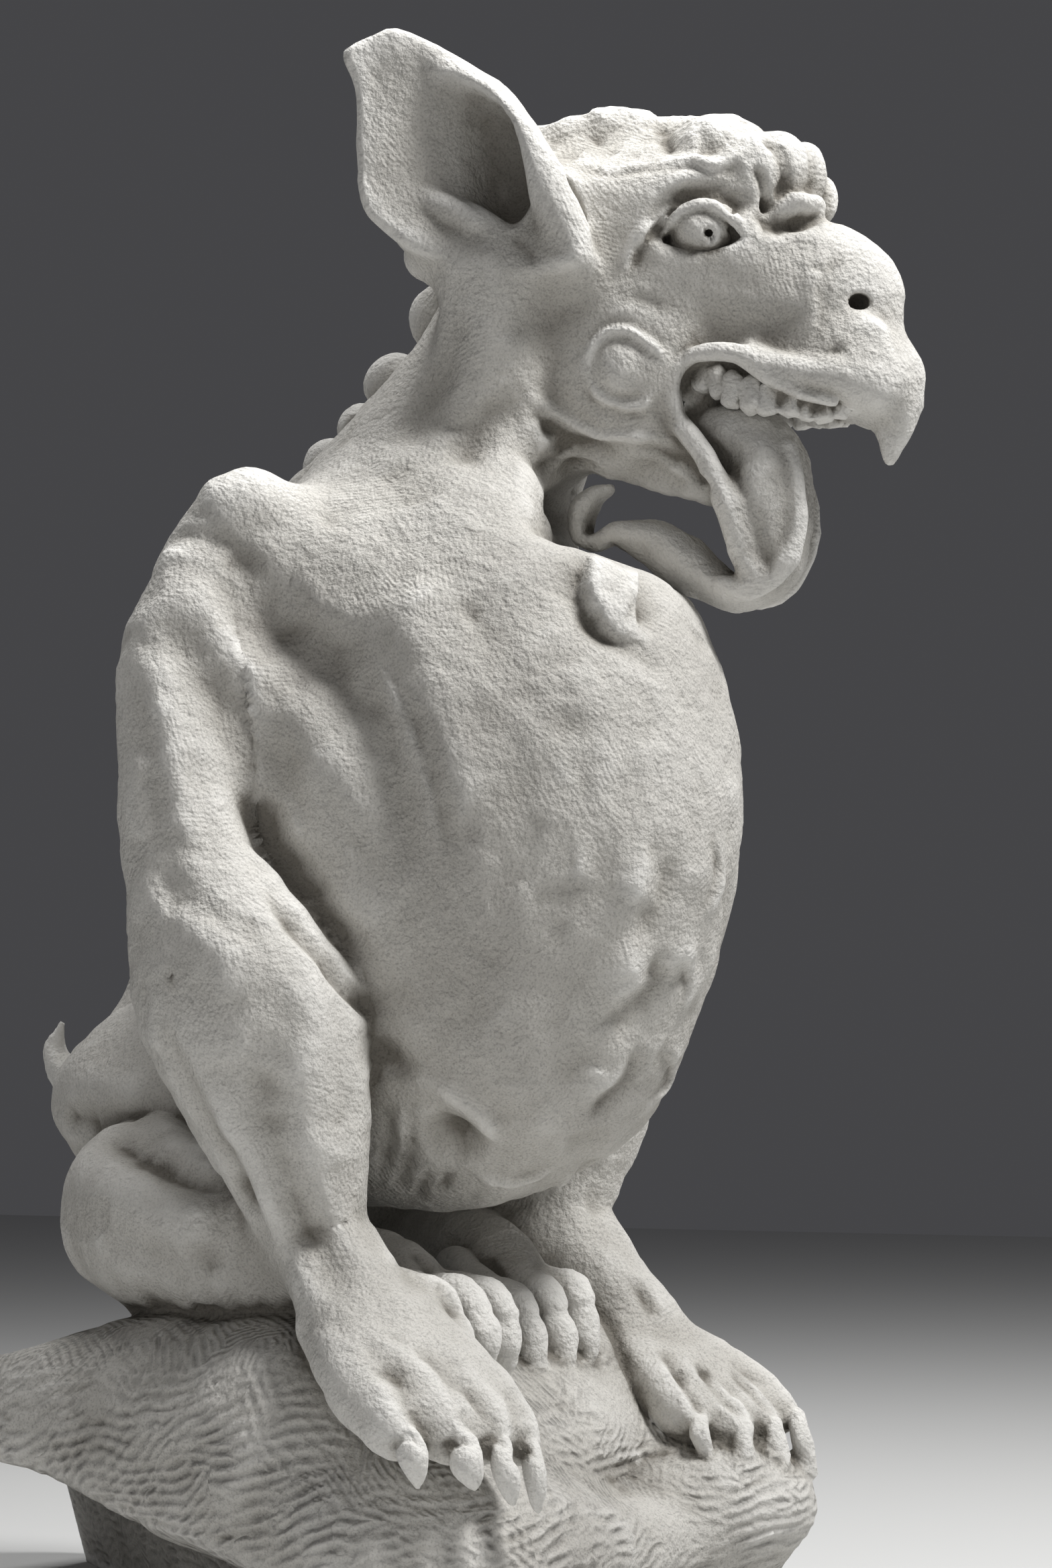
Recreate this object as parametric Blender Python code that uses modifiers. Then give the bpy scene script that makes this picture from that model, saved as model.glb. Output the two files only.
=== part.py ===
# Squatting beast carved with its rock from one block of limestone.
# Metres, +Z up.  The beast faces -Y, its right side is -X.  The origin lies under the middle of the block,
# on the flat underside.  All constants below are in millimetres.
import math

import bmesh
import bpy
import numpy as np
from mathutils import Euler, Matrix, Vector

MM = 0.001

# ---------------------------------------------------------------- driving dimensions (mm)
ORIGIN_SHIFT = (-0.45, -25.1, 0.0)    # from the sculptor's axis under the neck to the origin of the part
TRIANGLES = 9400                     # triangle budget of the finished solid
MASS_VOXEL = 9.0                     # first fusing grid, for the large masses
FINE_VOXEL = 5.0                     # second fusing grid, with the carving on it

RIB_CENTRE, RIB_RADII = (0, -110, 592), (180, 238, 277)
BREAST_CENTRE, BREAST_RADII = (0, -200, 424), (116, 82, 86)
BELLY = [(0, -135, 396, 84), (0, -40, 400, 90), (0, 70, 385, 98)]
PELVIS_CENTRE, PELVIS_RADII = (0, 96, 384), (112, 132, 78)
SPINE = [(0, -5, 800, 18), (0, 45, 745, 22), (0, 92, 670, 24), (0, 118, 600, 24), (0, 138, 520, 24), (0, 160, 440, 24)]
NECK = [(0, -104, 784, 110), (0, -120, 845, 84), (5, -147, 900, 66), (16, -172, 950, 60), (30, -189, 990, 59)]
SHOULDER_CENTRE, SHOULDER_RADII = (112, -76, 736), (70, 82, 76)
FLANK = [(148, -70, 788, 32), (158, -62, 738, 38), (160, -64, 680, 37), (156, -78, 612, 34), (144, -98, 548, 29), (122, -120, 490, 22)]
CREST = [(-110, 962, 25, 17), (-72, 916, 25, 18), (-38, 887, 19, 18), (-9, 859, 24, 20)]   # y, z, radius, half width
TAIL = [(0, 205, 410, 26), (0, 240, 402, 17), (0, 257, 413, 13), (0, 261, 426, 9), (0, 254, 443, 5)]
HAUNCH = [(92, 78, 312, 64), (124, 50, 303, 68), (140, 12, 296, 64), (148, -40, 288, 54), (140, -92, 272, 42)]
HIND_FOOT = [(118, -30, 262, 46), (92, -82, 262, 40), (76, -128, 254, 34), (70, -166, 242, 28)]
HIND_FOOT_SPREAD = (14, -14)         # the right hind foot stands further out, the left one further in
HIND_FOOT_FAR_SHIFT = (0, 16, 6)
HIND_CLAWS_NEAR = (-126, -93, -59)   # x of each claw
HIND_CLAWS_FAR = (16, 48, 80)
HIND_CLAW_TOP, HIND_CLAW_TIP = (-216, 238), (-223, 201)      # y, z of the knuckle and of the claw's tip
HIND_CLAW_FAR_BACK = 33

FORELEG = [(164, -52, 794, 28), (176, -37, 764, 30), (199, -28, 713, 33), (212, -34, 661, 37), (214, -49, 589, 44), (211, -64, 530, 52),
           (206, -84, 490, 64), (200, -99, 452, 76), (190, -113, 410, 69), (181, -119, 370, 60), (174, -127, 330, 47),
           (168, -131, 300, 39), (166, -146, 274, 37), (168, -170, 246, 35), (172, -192, 224, 33)]
FORELEG_FLATTENING = 0.94
FORELEG_FAR_DRAWBACK = 18            # the left foreleg stands this much further back at the wrist
NEAR_TOES = [(-227, -253, 160), (-198, -278, 157), (-170, -288, 154), (-142, -293, 150)]     # roots of the nails
FAR_TOES = [(126, -253, 149), (150, -277, 141), (178, -284, 142), (205, -287, 147)]
NAIL_DROP = 28

HEAD_PIVOT = (10, -140, 950)         # where the skull sits on the neck
HEAD_TURN = 23.0                     # degrees that the head is turned towards its left
# head forms in head axes: forward, towards the beast's right, up (from the pivot)
SKULL = [((75, 0, 62), (106, 70, 98)), ((125, 0, 72), (100, 64, 90)), ((170, 0, 62), (66, 62, 82)), ((200, 0, 100), (48, 51, 32))]
CROWN_PEAK, CROWN_PITCH = 155, 48    # the crown is two planes that meet this high, tilted this much from level
CROWN_RIDGE = [(66, 8, 139, 13), (100, 0, 142, 17), (135, 4, 135, 14), (180, 10, 122, 26)]
LEDGE = [(57, 56, 113, 6), (82, 61, 98, 8), (109, 61, 99, 8), (134, 60, 100, 8), (160, 56, 103, 9), (188, 50, 100, 11), (203, 46, 104, 10)]
SNOUT = [((235, 0, 8), (80, 44, 62)), ((290, 0, -50), (40, 34, 36)), ((262, 0, -52), (48, 38, 28))]
LIP = [(157, 45, -62, 7), (172, 48, -38, 8), (195, 48, -38, 9), (229, 43, -50, 12), (251, 41, -54, 14), (274, 37, -56, 15), (294, 29, -60, 16)]
BEAK_HOOK = [(308, 0, -70, 20), (306, 0, -88, 14), (303, 0, -108, 7)]
CHEEK = ((110, 0, -30), (75, 68, 75))
LOWER_JAW = [(105, 0, -66, 46), (140, 0, -88, 38), (176, 0, -112, 27)]
THROAT = [(62, 0, -30, 58), (50, 0, -75, 51), (36, 0, -112, 46), (18, 0, -150, 46), (10, 0, -196, 50)]
TONGUE_ROOM = (62, -115, (76, -177), 17.5)    # from this far forward, below this height, down to a shelf through the point, sloped
TONGUE_HOLLOW = ((96, 0, -138), (50, 66, 22))
BROW_ROLLS = [((210, 36, 98), (23, 18, 27)), ((227, 20, 104), (22, 22, 24)), ((242, 4, 103), (16, 22, 23)), ((238, 12, 72), (24, 24, 11))]
EYE_CENTRE, EYE_RADIUS = (176, 45, 53), 17
EYE_SOCKET = ((177, 64, 54), (32, 15, 17))
NOSTRIL = ((290, 38, -1), (14, 13, 9))
MOUTH = [(168, 0, -62, 17), (192, 0, -66, 20), (216, 0, -78, 22), (243, 0, -102, 23), (270, 0, -118, 22), (285, 0, -150, 22)]
MOUTH_WIDENING = 2.6
TEETH = [(214, -62), (228, -67), (242, -74), (256, -80)]
GUM = [(196, 31, -40, 10), (214, 31, -51, 10), (236, 29, -62, 10), (258, 26, -68, 10), (276, 20, -64, 10)]
TONGUE = [(165, 0, -86, 18), (190, 0, -88, 23), (212, 0, -104, 27), (216, 0, -138, 27), (218, 0, -170, 22), (208, 0, -196, 15),
          (182, 0, -198, 13.5), (150, 0, -177, 15), (120, 0, -160, 12), (96, 0, -158, 9), (80, 0, -154, 8), (79, 0, -138, 8), (90, 0, -126, 5.5)]
TONGUE_WIDENING = 1.5
THROAT_LUMP = ((-62, -272, 752), (25, 27, 39))
EAR_OUTLINE = [(-33, 199), (-72, 182), (-66, 150), (-65, 108), (-60, 72), (-42, 48), (-6, 30), (40, 17), (77, 16), (97, 22),
               (96, 45), (84, 76), (65, 121), (42, 155), (21, 171), (-8, 187)]    # forward, up
EAR_ROOT = [(-12, 54, 44, 14), (9, 64, 29, 24), (44, 66, 21, 27), (76, 66, 23, 22)]
EAR_OFFSET, EAR_THICKNESS = 80, 26
EAR_SET_BACK = (0, -10)              # right ear, left ear
EAR_HOLLOW = ((24, 103, 98), (42, 30, 58))

ROCK_CORE = ((0, -14, 120), (244, 190, 116), 0, 90)          # centre, half size, slope in degrees, rounding
ROCK_APRON = ((6, -160, 74), (236, 112, 66), 27, 40)
ROCK_TAIL = ((10, 240, 96), (232, 186, 94), -5, 60)
ROCK_FOOTING = ((0, 97, 10), (208, 313, 60), 0, 30)
ROCK_KNEE = ((0, -168, 140), (152, 68, 48))
ROCK_FAR_PAD = ((172, -226, 90), (80, 92, 58))
ROCK_NEAR_PAD = ((-184, -230, 97), (72, 92, 62))
# the rock falls away outside these planes: a point on each, and its outward direction
ROCK_FLANKS = [((-200, 6, 238), (-0.178, 0.27, 1)), ((-252, 150, 120), (-1, 0.25, 0.35)), ((-190, -250, 130), (-0.5, -0.8, 0.35)),
               ((240, 200, 150), (1, 0.2, 0.5))]
# the undercut below its near rear edge lies inside these
UNDERCUT = [((-270, 58, 139), (0.325, -0.289, 1)), ((-270, 58, 139), (0, 0.1, 1)), ((-60, 32, 0), (0.78, -0.54, 0.3))]
REAR_CUT = 392.0                     # the rock is sawn off flat here, where it beds in the wall


def remove_everything():
    for ob in list(bpy.data.objects):
        bpy.data.objects.remove(ob)


def new_object(name, mesh, collection):
    ob = bpy.data.objects.new(name, mesh)
    collection.objects.link(ob)
    return ob


def head_matrix():
    turn = math.radians(HEAD_TURN)
    forward = Vector((math.sin(turn), -math.cos(turn), 0))
    right = Vector((-math.cos(turn), -math.sin(turn), 0))
    m = Matrix.Identity(4)
    for i in range(3):
        m[i][0], m[i][1], m[i][2] = forward[i], right[i], (0, 0, 1)[i]
        m[i][3] = HEAD_PIVOT[i]
    return m


BODY = Matrix.Identity(4)
HEAD = head_matrix()


def ball(bm, centre, radii, frame=BODY, tilt=(0, 0, 0), detail=3):
    """An ellipsoid, as an ico sphere stretched to its three radii."""
    turn = Euler([math.radians(a) for a in tilt]).to_matrix().to_4x4()
    place = frame @ Matrix.Translation(centre) @ turn @ Matrix.Diagonal((*radii, 1))
    bmesh.ops.create_icosphere(bm, subdivisions=detail, radius=1.0, matrix=place)


def block(bm, centre, half, slope, rounding):
    """A box with rounded edges, sloped about X."""
    place = Matrix.Translation(centre) @ Matrix.Rotation(math.radians(slope), 4, "X") @ Matrix.Diagonal((*[2 * h for h in half], 1))
    made = bmesh.ops.create_cube(bm, size=1.0, matrix=place)
    edges = {e for v in made["verts"] for e in v.link_edges}
    bmesh.ops.bevel(bm, geom=list(edges), offset=rounding, segments=5, profile=0.5, affect="EDGES")


def wedge(planes, frame=BODY, size=3000):
    """A great block trimmed flat to the inner side of every plane (point, outward direction)."""
    bm = bmesh.new()
    bmesh.ops.create_cube(bm, size=size)
    for point, outward in planes:
        parts = bm.verts[:] + bm.edges[:] + bm.faces[:]
        found = bmesh.ops.bisect_plane(bm, geom=parts, plane_co=point, plane_no=outward, clear_outer=True)
        bmesh.ops.edgenet_fill(bm, edges=[e for e in found["geom_cut"] if isinstance(e, bmesh.types.BMEdge)])
    bm.transform(frame)
    bmesh.ops.recalc_face_normals(bm, faces=bm.faces)
    return bm


def smooth_path(points, steps=3):
    """Catmull-Rom points through (x, y, z, radius) stations."""
    p = [Vector(q) for q in points]
    p = [2 * p[0] - p[1]] + p + [2 * p[-1] - p[-2]]
    out = []
    for i in range(1, len(p) - 2):
        a, b, c, d = p[i - 1 : i + 3]
        for j in range(steps):
            t = j / steps
            out.append(0.5 * (2 * b + (c - a) * t + (2 * a - 5 * b + 4 * c - d) * t * t + (3 * b - a - 3 * c + d) * t**3))
    out.append(p[-2])
    return out


def limb(bm, points, frame=BODY, widen=(1, 1, 1), sides=4, steps=3):
    """A tapering round limb: a bevelled curve through stations (x, y, z, radius) with a ball on each end."""
    path = smooth_path(points, steps)
    curve = bpy.data.curves.new("limb", "CURVE")
    curve.dimensions = "3D"
    curve.bevel_depth = 1.0
    curve.bevel_resolution = sides
    curve.use_fill_caps = True
    spline = curve.splines.new("POLY")
    spline.points.add(len(path) - 1)
    for point, q in zip(spline.points, path):
        point.co = (q[0], q[1], q[2], 1)
        point.radius = max(q[3], 1.0)
    ob = bpy.data.objects.new("limb", curve)
    bpy.context.scene.collection.objects.link(ob)
    bpy.context.view_layer.update()
    mesh = bpy.data.meshes.new_from_object(ob.evaluated_get(bpy.context.evaluated_depsgraph_get()))
    bpy.data.objects.remove(ob)
    tube = bmesh.new()
    tube.from_mesh(mesh)
    bmesh.ops.remove_doubles(tube, verts=tube.verts, dist=0.01)
    for q in (path[0], path[-1]):
        bmesh.ops.create_icosphere(tube, subdivisions=2, radius=max(q[3], 1.0), matrix=Matrix.Translation(q.to_3d()))
    # the section is widened about the path's own middle plane
    middle = [sum(q[i] for q in path) / len(path) for i in range(3)]
    for v in tube.verts:
        for i in range(3):
            if widen[i] != 1:
                near = min(path, key=lambda q: (q.to_3d() - v.co).length_squared)
                v.co[i] = near[i] + (v.co[i] - near[i]) * widen[i]
    tube.transform(frame)
    joined = bpy.data.meshes.new("joined")
    tube.to_mesh(joined)
    tube.free()
    bm.from_mesh(joined)
    bpy.data.meshes.remove(joined)
    bpy.data.meshes.remove(mesh)


def leaf(bm, outline, thickness, matrix):
    """A flat outline as a filled 2D curve, extruded and rounded: the blade of the ear."""
    curve = bpy.data.curves.new("leaf", "CURVE")
    curve.dimensions = "2D"
    curve.fill_mode = "BOTH"
    curve.extrude = thickness / 2 - 6
    curve.bevel_depth = 6
    curve.bevel_resolution = 2
    spline = curve.splines.new("POLY")
    closed = smooth_path([(x, y, 0, 0) for x, y in outline + outline[:1]], 2)[:-1]
    spline.points.add(len(closed) - 1)
    for point, q in zip(spline.points, closed):
        point.co = (q[0], q[1], 0, 1)
    spline.use_cyclic_u = True
    ob = bpy.data.objects.new("leaf", curve)
    bpy.context.scene.collection.objects.link(ob)
    bpy.context.view_layer.update()
    mesh = bpy.data.meshes.new_from_object(ob.evaluated_get(bpy.context.evaluated_depsgraph_get()))
    bpy.data.objects.remove(ob)
    blade = bmesh.new()
    blade.from_mesh(mesh)
    bmesh.ops.remove_doubles(blade, verts=blade.verts, dist=0.05)
    blade.transform(matrix)
    joined = bpy.data.meshes.new("joined")
    blade.to_mesh(joined)
    blade.free()
    bm.from_mesh(joined)
    bpy.data.meshes.remove(joined)
    bpy.data.meshes.remove(mesh)


def mirrored(points, side):
    return [(side * q[0], *q[1:]) for q in points]


def evaluated(ob):
    bpy.context.view_layer.update()
    return bpy.data.meshes.new_from_object(ob.evaluated_get(bpy.context.evaluated_depsgraph_get()))


def fuse(bm, voxel, smoothing, name="fused"):
    """Every overlapping form in bm becomes one skin: voxel remesh, then smoothing that fillets the meetings."""
    mesh = bpy.data.meshes.new(name)
    bm.to_mesh(mesh)
    bm.free()
    ob = bpy.data.objects.new(name, mesh)
    bpy.context.scene.collection.objects.link(ob)
    remesh = ob.modifiers.new("fuse", "REMESH")
    remesh.mode = "VOXEL"
    remesh.voxel_size = voxel
    if smoothing:
        smooth = ob.modifiers.new("fillet", "SMOOTH")
        smooth.factor = 0.5
        smooth.iterations = smoothing
    result = evaluated(ob)
    bpy.data.objects.remove(ob)
    return result


def trimmed(mesh, tools, name):
    """The mesh less every tool, each a closed bmesh, by EXACT Boolean."""
    ob = new_object(name, mesh, cutters)
    for i, tool in enumerate(tools):
        cut(ob, cutter_from(tool, "%s_cutter_%d" % (name, i + 1), cutters), "cut %d" % (i + 1))
    result = evaluated(ob)
    bpy.data.objects.remove(ob)
    return result


def trunk():
    """Ribs, belly, neck and shoulders, with the room for the curled tongue cut out under the jaw."""
    bm = bmesh.new()
    ball(bm, RIB_CENTRE, RIB_RADII, detail=4)
    ball(bm, BREAST_CENTRE, BREAST_RADII)
    limb(bm, BELLY)
    ball(bm, PELVIS_CENTRE, PELVIS_RADII)
    limb(bm, SPINE)
    limb(bm, NECK)
    limb(bm, THROAT, HEAD)
    for side in (-1, 1):
        ball(bm, (side * SHOULDER_CENTRE[0], *SHOULDER_CENTRE[1:]), SHOULDER_RADII)
        limb(bm, mirrored(FLANK, side))
    front, top, (f, u), slope = TONGUE_ROOM
    down = (-math.sin(math.radians(slope)), 0, -math.cos(math.radians(slope)))
    room = wedge([((front, 0, 0), (-1, 0, 0)), ((0, 0, top), (0, 0, 1)), ((f, 0, u), down), ((260, 0, 0), (1, 0, 0)),
                  ((0, 170, 0), (0, 1, 0)), ((0, -170, 0), (0, -1, 0))], HEAD)
    hollow = bmesh.new()
    ball(hollow, *TONGUE_HOLLOW, HEAD)
    return trimmed(fuse(bm, MASS_VOXEL, 4, "trunk"), [room, hollow], "trunk")


def head():
    """Skull under its two crown planes, snout, cheek and jaw."""
    bm = bmesh.new()
    for centre, radii in SKULL:
        ball(bm, centre, radii, HEAD)
    pitch = math.radians(CROWN_PITCH)
    planes = [wedge([((100, 0, CROWN_PEAK), (0, -side * math.sin(pitch), -math.cos(pitch)))], HEAD) for side in (1, -1)]
    mesh = trimmed(fuse(bm, MASS_VOXEL, 1, "skull"), planes, "skull")
    bm = bmesh.new()
    bm.from_mesh(mesh)
    for centre, radii in SNOUT:
        ball(bm, centre, radii, HEAD)
    ball(bm, *CHEEK, HEAD)
    limb(bm, LOWER_JAW, HEAD)
    return fuse(bm, MASS_VOXEL, 2, "head")


def rock():
    """The rough block, fallen away on its flanks and undercut at the near rear."""
    bm = bmesh.new()
    for piece in (ROCK_CORE, ROCK_APRON, ROCK_TAIL, ROCK_FOOTING):
        block(bm, *piece)
    ball(bm, *ROCK_KNEE)
    ball(bm, *ROCK_FAR_PAD)
    ball(bm, *ROCK_NEAR_PAD)
    flanks = [wedge([(point, tuple(-c for c in outward))]) for point, outward in ROCK_FLANKS]
    return trimmed(fuse(bm, MASS_VOXEL, 8, "rock"), flanks + [wedge(UNDERCUT)], "rock")


def masses():
    """The large masses: trunk, head, haunches, forelegs and rock."""
    bm = bmesh.new()
    for mesh in (trunk(), head(), rock()):
        bm.from_mesh(mesh)
    for side in (-1, 1):
        limb(bm, mirrored(HAUNCH, side))
        limb(bm, foreleg(side), widen=(FORELEG_FLATTENING, 1, 1), steps=2)
    return fuse(bm, MASS_VOXEL, 4)


def foreleg(side):
    """Stations of one foreleg; the left one is drawn back a little towards the wrist."""
    out = []
    for x, y, z, r in FORELEG:
        share = min(max((480 - z) / 180, 0), 1)
        back = FORELEG_FAR_DRAWBACK * share if side > 0 else 0
        out.append((side * (x - (6 * share if side > 0 else 0)), y + back, z, r))
    return out


def paw(bm, wrist, toes):
    """Four thick toes that fan out from the wrist, each with a nail that drops from its end."""
    w = Vector(wrist)
    middle = sum((Vector(t) for t in toes), Vector()) / 4
    limb(bm, [(*w, 33), (*(w * 0.55 + middle * 0.45 + Vector((0, 0, 2))), 31)], sides=4)
    for toe in toes:
        t = Vector(toe)
        root = w * 0.7 + t * 0.3
        knuckle = w * 0.35 + t * 0.65 + Vector((0, -2, 12))
        limb(bm, [(*root, 24), (*knuckle, 20.5), (*(t + Vector((0, 18, 12))), 18), (*t, 16)], sides=3)
        limb(bm, [(*(t + Vector((0, -4, 0))), 11), (*(t + Vector((0, -14, -NAIL_DROP * 0.45))), 10), (*(t + Vector((0, -11, -NAIL_DROP))), 6)], sides=2)


def hind_foot(bm, side):
    """A long hind foot that ends in three knuckles over drop-shaped claws."""
    far = side > 0
    shift = HIND_FOOT_FAR_SHIFT if far else (0, 0, 0)
    spread = HIND_FOOT_SPREAD[1 if far else 0]
    stations = []
    for i, (x, y, z, r) in enumerate(HIND_FOOT):
        share = i / (len(HIND_FOOT) - 1)
        stations.append((side * (x + spread * share), y + shift[1], z + shift[2] * (1 - share), r))
    limb(bm, stations)
    back = HIND_CLAW_FAR_BACK if far else 0
    (ty, tz), (py, pz) = HIND_CLAW_TOP, HIND_CLAW_TIP
    for x in HIND_CLAWS_FAR if far else HIND_CLAWS_NEAR:
        limb(bm, [(x * 0.75 + side * 20, ty + back + 80, tz + 16, 16), (x, ty + back + 24, tz + 12, 15.5), (x, ty + back, tz, 14)], sides=3)
        limb(bm, [(x, ty + back, tz, 13), (x, (ty + py) / 2 + back - 3, (tz + pz) / 2, 12), (x, py + back, pz - 4, 6)], sides=2)


def carving(mass_mesh):
    """Masses plus the carving that stands on them."""
    bm = bmesh.new()
    bm.from_mesh(mass_mesh)
    for y, z, radius, width in CREST:
        ball(bm, (2, y, z), (width, radius, radius))
    limb(bm, TAIL)
    for side in (-1, 1):
        hind_foot(bm, side)
        paw(bm, foreleg(side)[-1][:3], NEAR_TOES if side < 0 else FAR_TOES)
    limb(bm, BEAK_HOOK, HEAD)
    limb(bm, CROWN_RIDGE, HEAD)
    for side in (1, -1):
        for centre, radii in BROW_ROLLS:
            ball(bm, (centre[0], side * centre[1], centre[2]), radii, HEAD, detail=2)
        for line in (LEDGE, LIP):
            limb(bm, [(f, side * s, u, r) for f, s, u, r in line], HEAD, sides=3)
        back = EAR_SET_BACK[0 if side > 0 else 1]
        place = HEAD @ Matrix.Translation((back, side * EAR_OFFSET, 0)) @ Matrix(((1, 0, 0, 0), (0, 0, -side, 0), (0, 1, 0, 0), (0, 0, 0, 1)))
        leaf(bm, EAR_OUTLINE, EAR_THICKNESS, place)
        limb(bm, [(f + back, side * s, u, r) for f, s, u, r in EAR_ROOT], HEAD)
    ball(bm, *THROAT_LUMP)
    return fuse(bm, FINE_VOXEL, 2)


def cut(ob, cutter, name):
    cutter.hide_render = True
    cutter.display_type = "WIRE"
    mod = ob.modifiers.new(name, "BOOLEAN")
    mod.operation = "DIFFERENCE"
    mod.solver = "EXACT"
    mod.object = cutter


def cutter_from(bm, name, collection):
    mesh = bpy.data.meshes.new(name)
    bm.to_mesh(mesh)
    bm.free()
    return new_object(name, mesh, collection)


remove_everything()
scene = bpy.context.scene
part = bpy.data.collections.new("stone_gargoyle")
cutters = bpy.data.collections.new("cutters")
scene.collection.children.link(part)
scene.collection.children.link(cutters)

skin = carving(masses())
print("skin faces", len(skin.polygons))
body = new_object("gargoyle", skin, part)
faces = len(skin.polygons)

decimate = body.modifiers.new("budget", "DECIMATE")
decimate.ratio = TRIANGLES * 0.86 / (2 * faces)

# hollows cut into the stone
bm = bmesh.new()
limb(bm, MOUTH, HEAD, widen=(1, MOUTH_WIDENING, 1), sides=3, steps=2)
mouth = fuse(bm, 6.0, 2, "mouth_cutter")
mouth_cutter = new_object("mouth_cutter", mouth, cutters)
thin = mouth_cutter.modifiers.new("budget", "DECIMATE")
thin.ratio = 0.12
cut(body, mouth_cutter, "mouth")

for side, word in ((1, "right"), (-1, "left")):
    (x, y, z), radii = EAR_HOLLOW
    bm = bmesh.new()
    ball(bm, (x + EAR_SET_BACK[0 if side > 0 else 1], side * y, z), radii, HEAD, tilt=(0, -18, 0))
    cut(body, cutter_from(bm, word + "_ear_cutter", cutters), word + " ear hollow")
    bm = bmesh.new()
    (x, y, z), radii = EYE_SOCKET
    ball(bm, (x, side * y, z), radii, HEAD, detail=2)
    cut(body, cutter_from(bm, word + "_socket_cutter", cutters), word + " socket")
    bm = bmesh.new()
    (x, y, z), radii = NOSTRIL
    ball(bm, (x, side * y, z), radii, HEAD, detail=1)
    cut(body, cutter_from(bm, word + "_nostril_cutter", cutters), word + " nostril")


def join(ob, other, name):
    other.hide_render = True
    other.display_type = "WIRE"
    mod = ob.modifiers.new(name, "BOOLEAN")
    mod.operation = "UNION"
    mod.solver = "EXACT"
    mod.object = other


# carving that stands in the hollows
bm = bmesh.new()
limb(bm, TONGUE, HEAD, widen=(1, TONGUE_WIDENING, 1), sides=2, steps=2)
tongue = fuse(bm, 4.0, 1, "tongue")
tongue_form = new_object("tongue_form", tongue, cutters)
thin = tongue_form.modifiers.new("budget", "DECIMATE")
thin.ratio = 0.07
join(body, tongue_form, "tongue")
for side, word in ((1, "right"), (-1, "left")):
    bm = bmesh.new()
    x, y, z = EYE_CENTRE
    ball(bm, (x, side * y, z), (EYE_RADIUS,) * 3, HEAD, detail=2)
    join(body, cutter_from(bm, word + "_eye_form", cutters), word + " eye")
    bm = bmesh.new()
    limb(bm, [(f, side * s, u, r) for f, s, u, r in GUM], HEAD, sides=2, steps=2)
    for i, (forward, up) in enumerate(TEETH):
        ball(bm, (forward, side * (30 - i * 2), up), (7, 8, 13), HEAD, detail=2)
    teeth = new_object(word + "_teeth_form", fuse(bm, 3.0, 1, word + "_teeth"), cutters)
    thin = teeth.modifiers.new("budget", "DECIMATE")
    thin.ratio = 0.06
    join(body, teeth, word + " teeth")

# the flat bed of the rock and its sawn rear face
for name, centre, size in (("bed_cutter", (0, 0, -100), (1200, 1400, 200)), ("rear_cutter", (0, REAR_CUT + 100, 100), (1200, 200, 600))):
    bm = bmesh.new()
    bmesh.ops.create_cube(bm, size=1.0, matrix=Matrix.Translation(centre) @ Matrix.Diagonal((*size, 1)))
    cut(body, cutter_from(bm, name, cutters), name)

# pale limestone
stone = bpy.data.materials.new("limestone")
stone.use_nodes = True
bsdf = stone.node_tree.nodes["Principled BSDF"]
bsdf.inputs["Base Color"].default_value = (0.62, 0.60, 0.56, 1.0)
bsdf.inputs["Roughness"].default_value = 0.9
bsdf.inputs["Metallic"].default_value = 0.0

# from the sculptor's millimetres to metres about the part's origin
solid = evaluated(body)
for ob in list(cutters.objects):
    for v in ob.data.vertices:
        v.co = (v.co - Vector(ORIGIN_SHIFT)) * MM
body.modifiers.clear()
old = body.data
body.data = solid
bpy.data.meshes.remove(old)
for v in solid.vertices:
    v.co = (v.co - Vector(ORIGIN_SHIFT)) * MM
solid.materials.clear()
solid.materials.append(stone)
solid.shade_smooth()
solid.set_sharp_from_angle(angle=math.radians(40))
xs = [v.co for v in solid.vertices]
print("triangles", sum(len(p.vertices) - 2 for p in solid.polygons),
      "box", [round(min(v[i] for v in xs), 4) for i in range(3)], [round(max(v[i] for v in xs), 4) for i in range(3)])
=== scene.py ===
"""Looks of the stone gargoyle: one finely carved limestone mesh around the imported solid, a plain floor and soft light."""
import math

import bpy
import numpy as np
from mathutils import Matrix, Vector
from mathutils.bvhtree import BVHTree


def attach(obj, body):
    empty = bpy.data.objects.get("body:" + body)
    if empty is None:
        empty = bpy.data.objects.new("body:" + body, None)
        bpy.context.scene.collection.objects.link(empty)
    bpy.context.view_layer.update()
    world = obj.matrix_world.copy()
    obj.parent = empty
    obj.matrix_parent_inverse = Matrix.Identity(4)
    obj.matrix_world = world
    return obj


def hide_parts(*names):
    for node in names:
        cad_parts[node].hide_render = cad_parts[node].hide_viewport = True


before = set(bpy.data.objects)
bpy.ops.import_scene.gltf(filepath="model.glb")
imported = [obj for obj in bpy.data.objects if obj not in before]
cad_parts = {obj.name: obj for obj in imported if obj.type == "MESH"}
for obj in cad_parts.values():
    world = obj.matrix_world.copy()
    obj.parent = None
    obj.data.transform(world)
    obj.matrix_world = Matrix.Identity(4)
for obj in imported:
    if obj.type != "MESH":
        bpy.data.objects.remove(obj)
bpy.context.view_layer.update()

# ---------------------------------------------------------------- distance-field sculpting
f32=np.float32
BIG=f32(500.0)
def rotm(rx=0,ry=0,rz=0):
    rx,ry,rz=np.radians([rx,ry,rz])
    cx,sx,cy,sy,cz,sz=np.cos(rx),np.sin(rx),np.cos(ry),np.sin(ry),np.cos(rz),np.sin(rz)
    X=np.array([[1,0,0],[0,cx,-sx],[0,sx,cx]]);Y=np.array([[cy,0,sy],[0,1,0],[-sy,0,cy]]);Z=np.array([[cz,-sz,0],[sz,cz,0],[0,0,1]])
    return Z@Y@X
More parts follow.
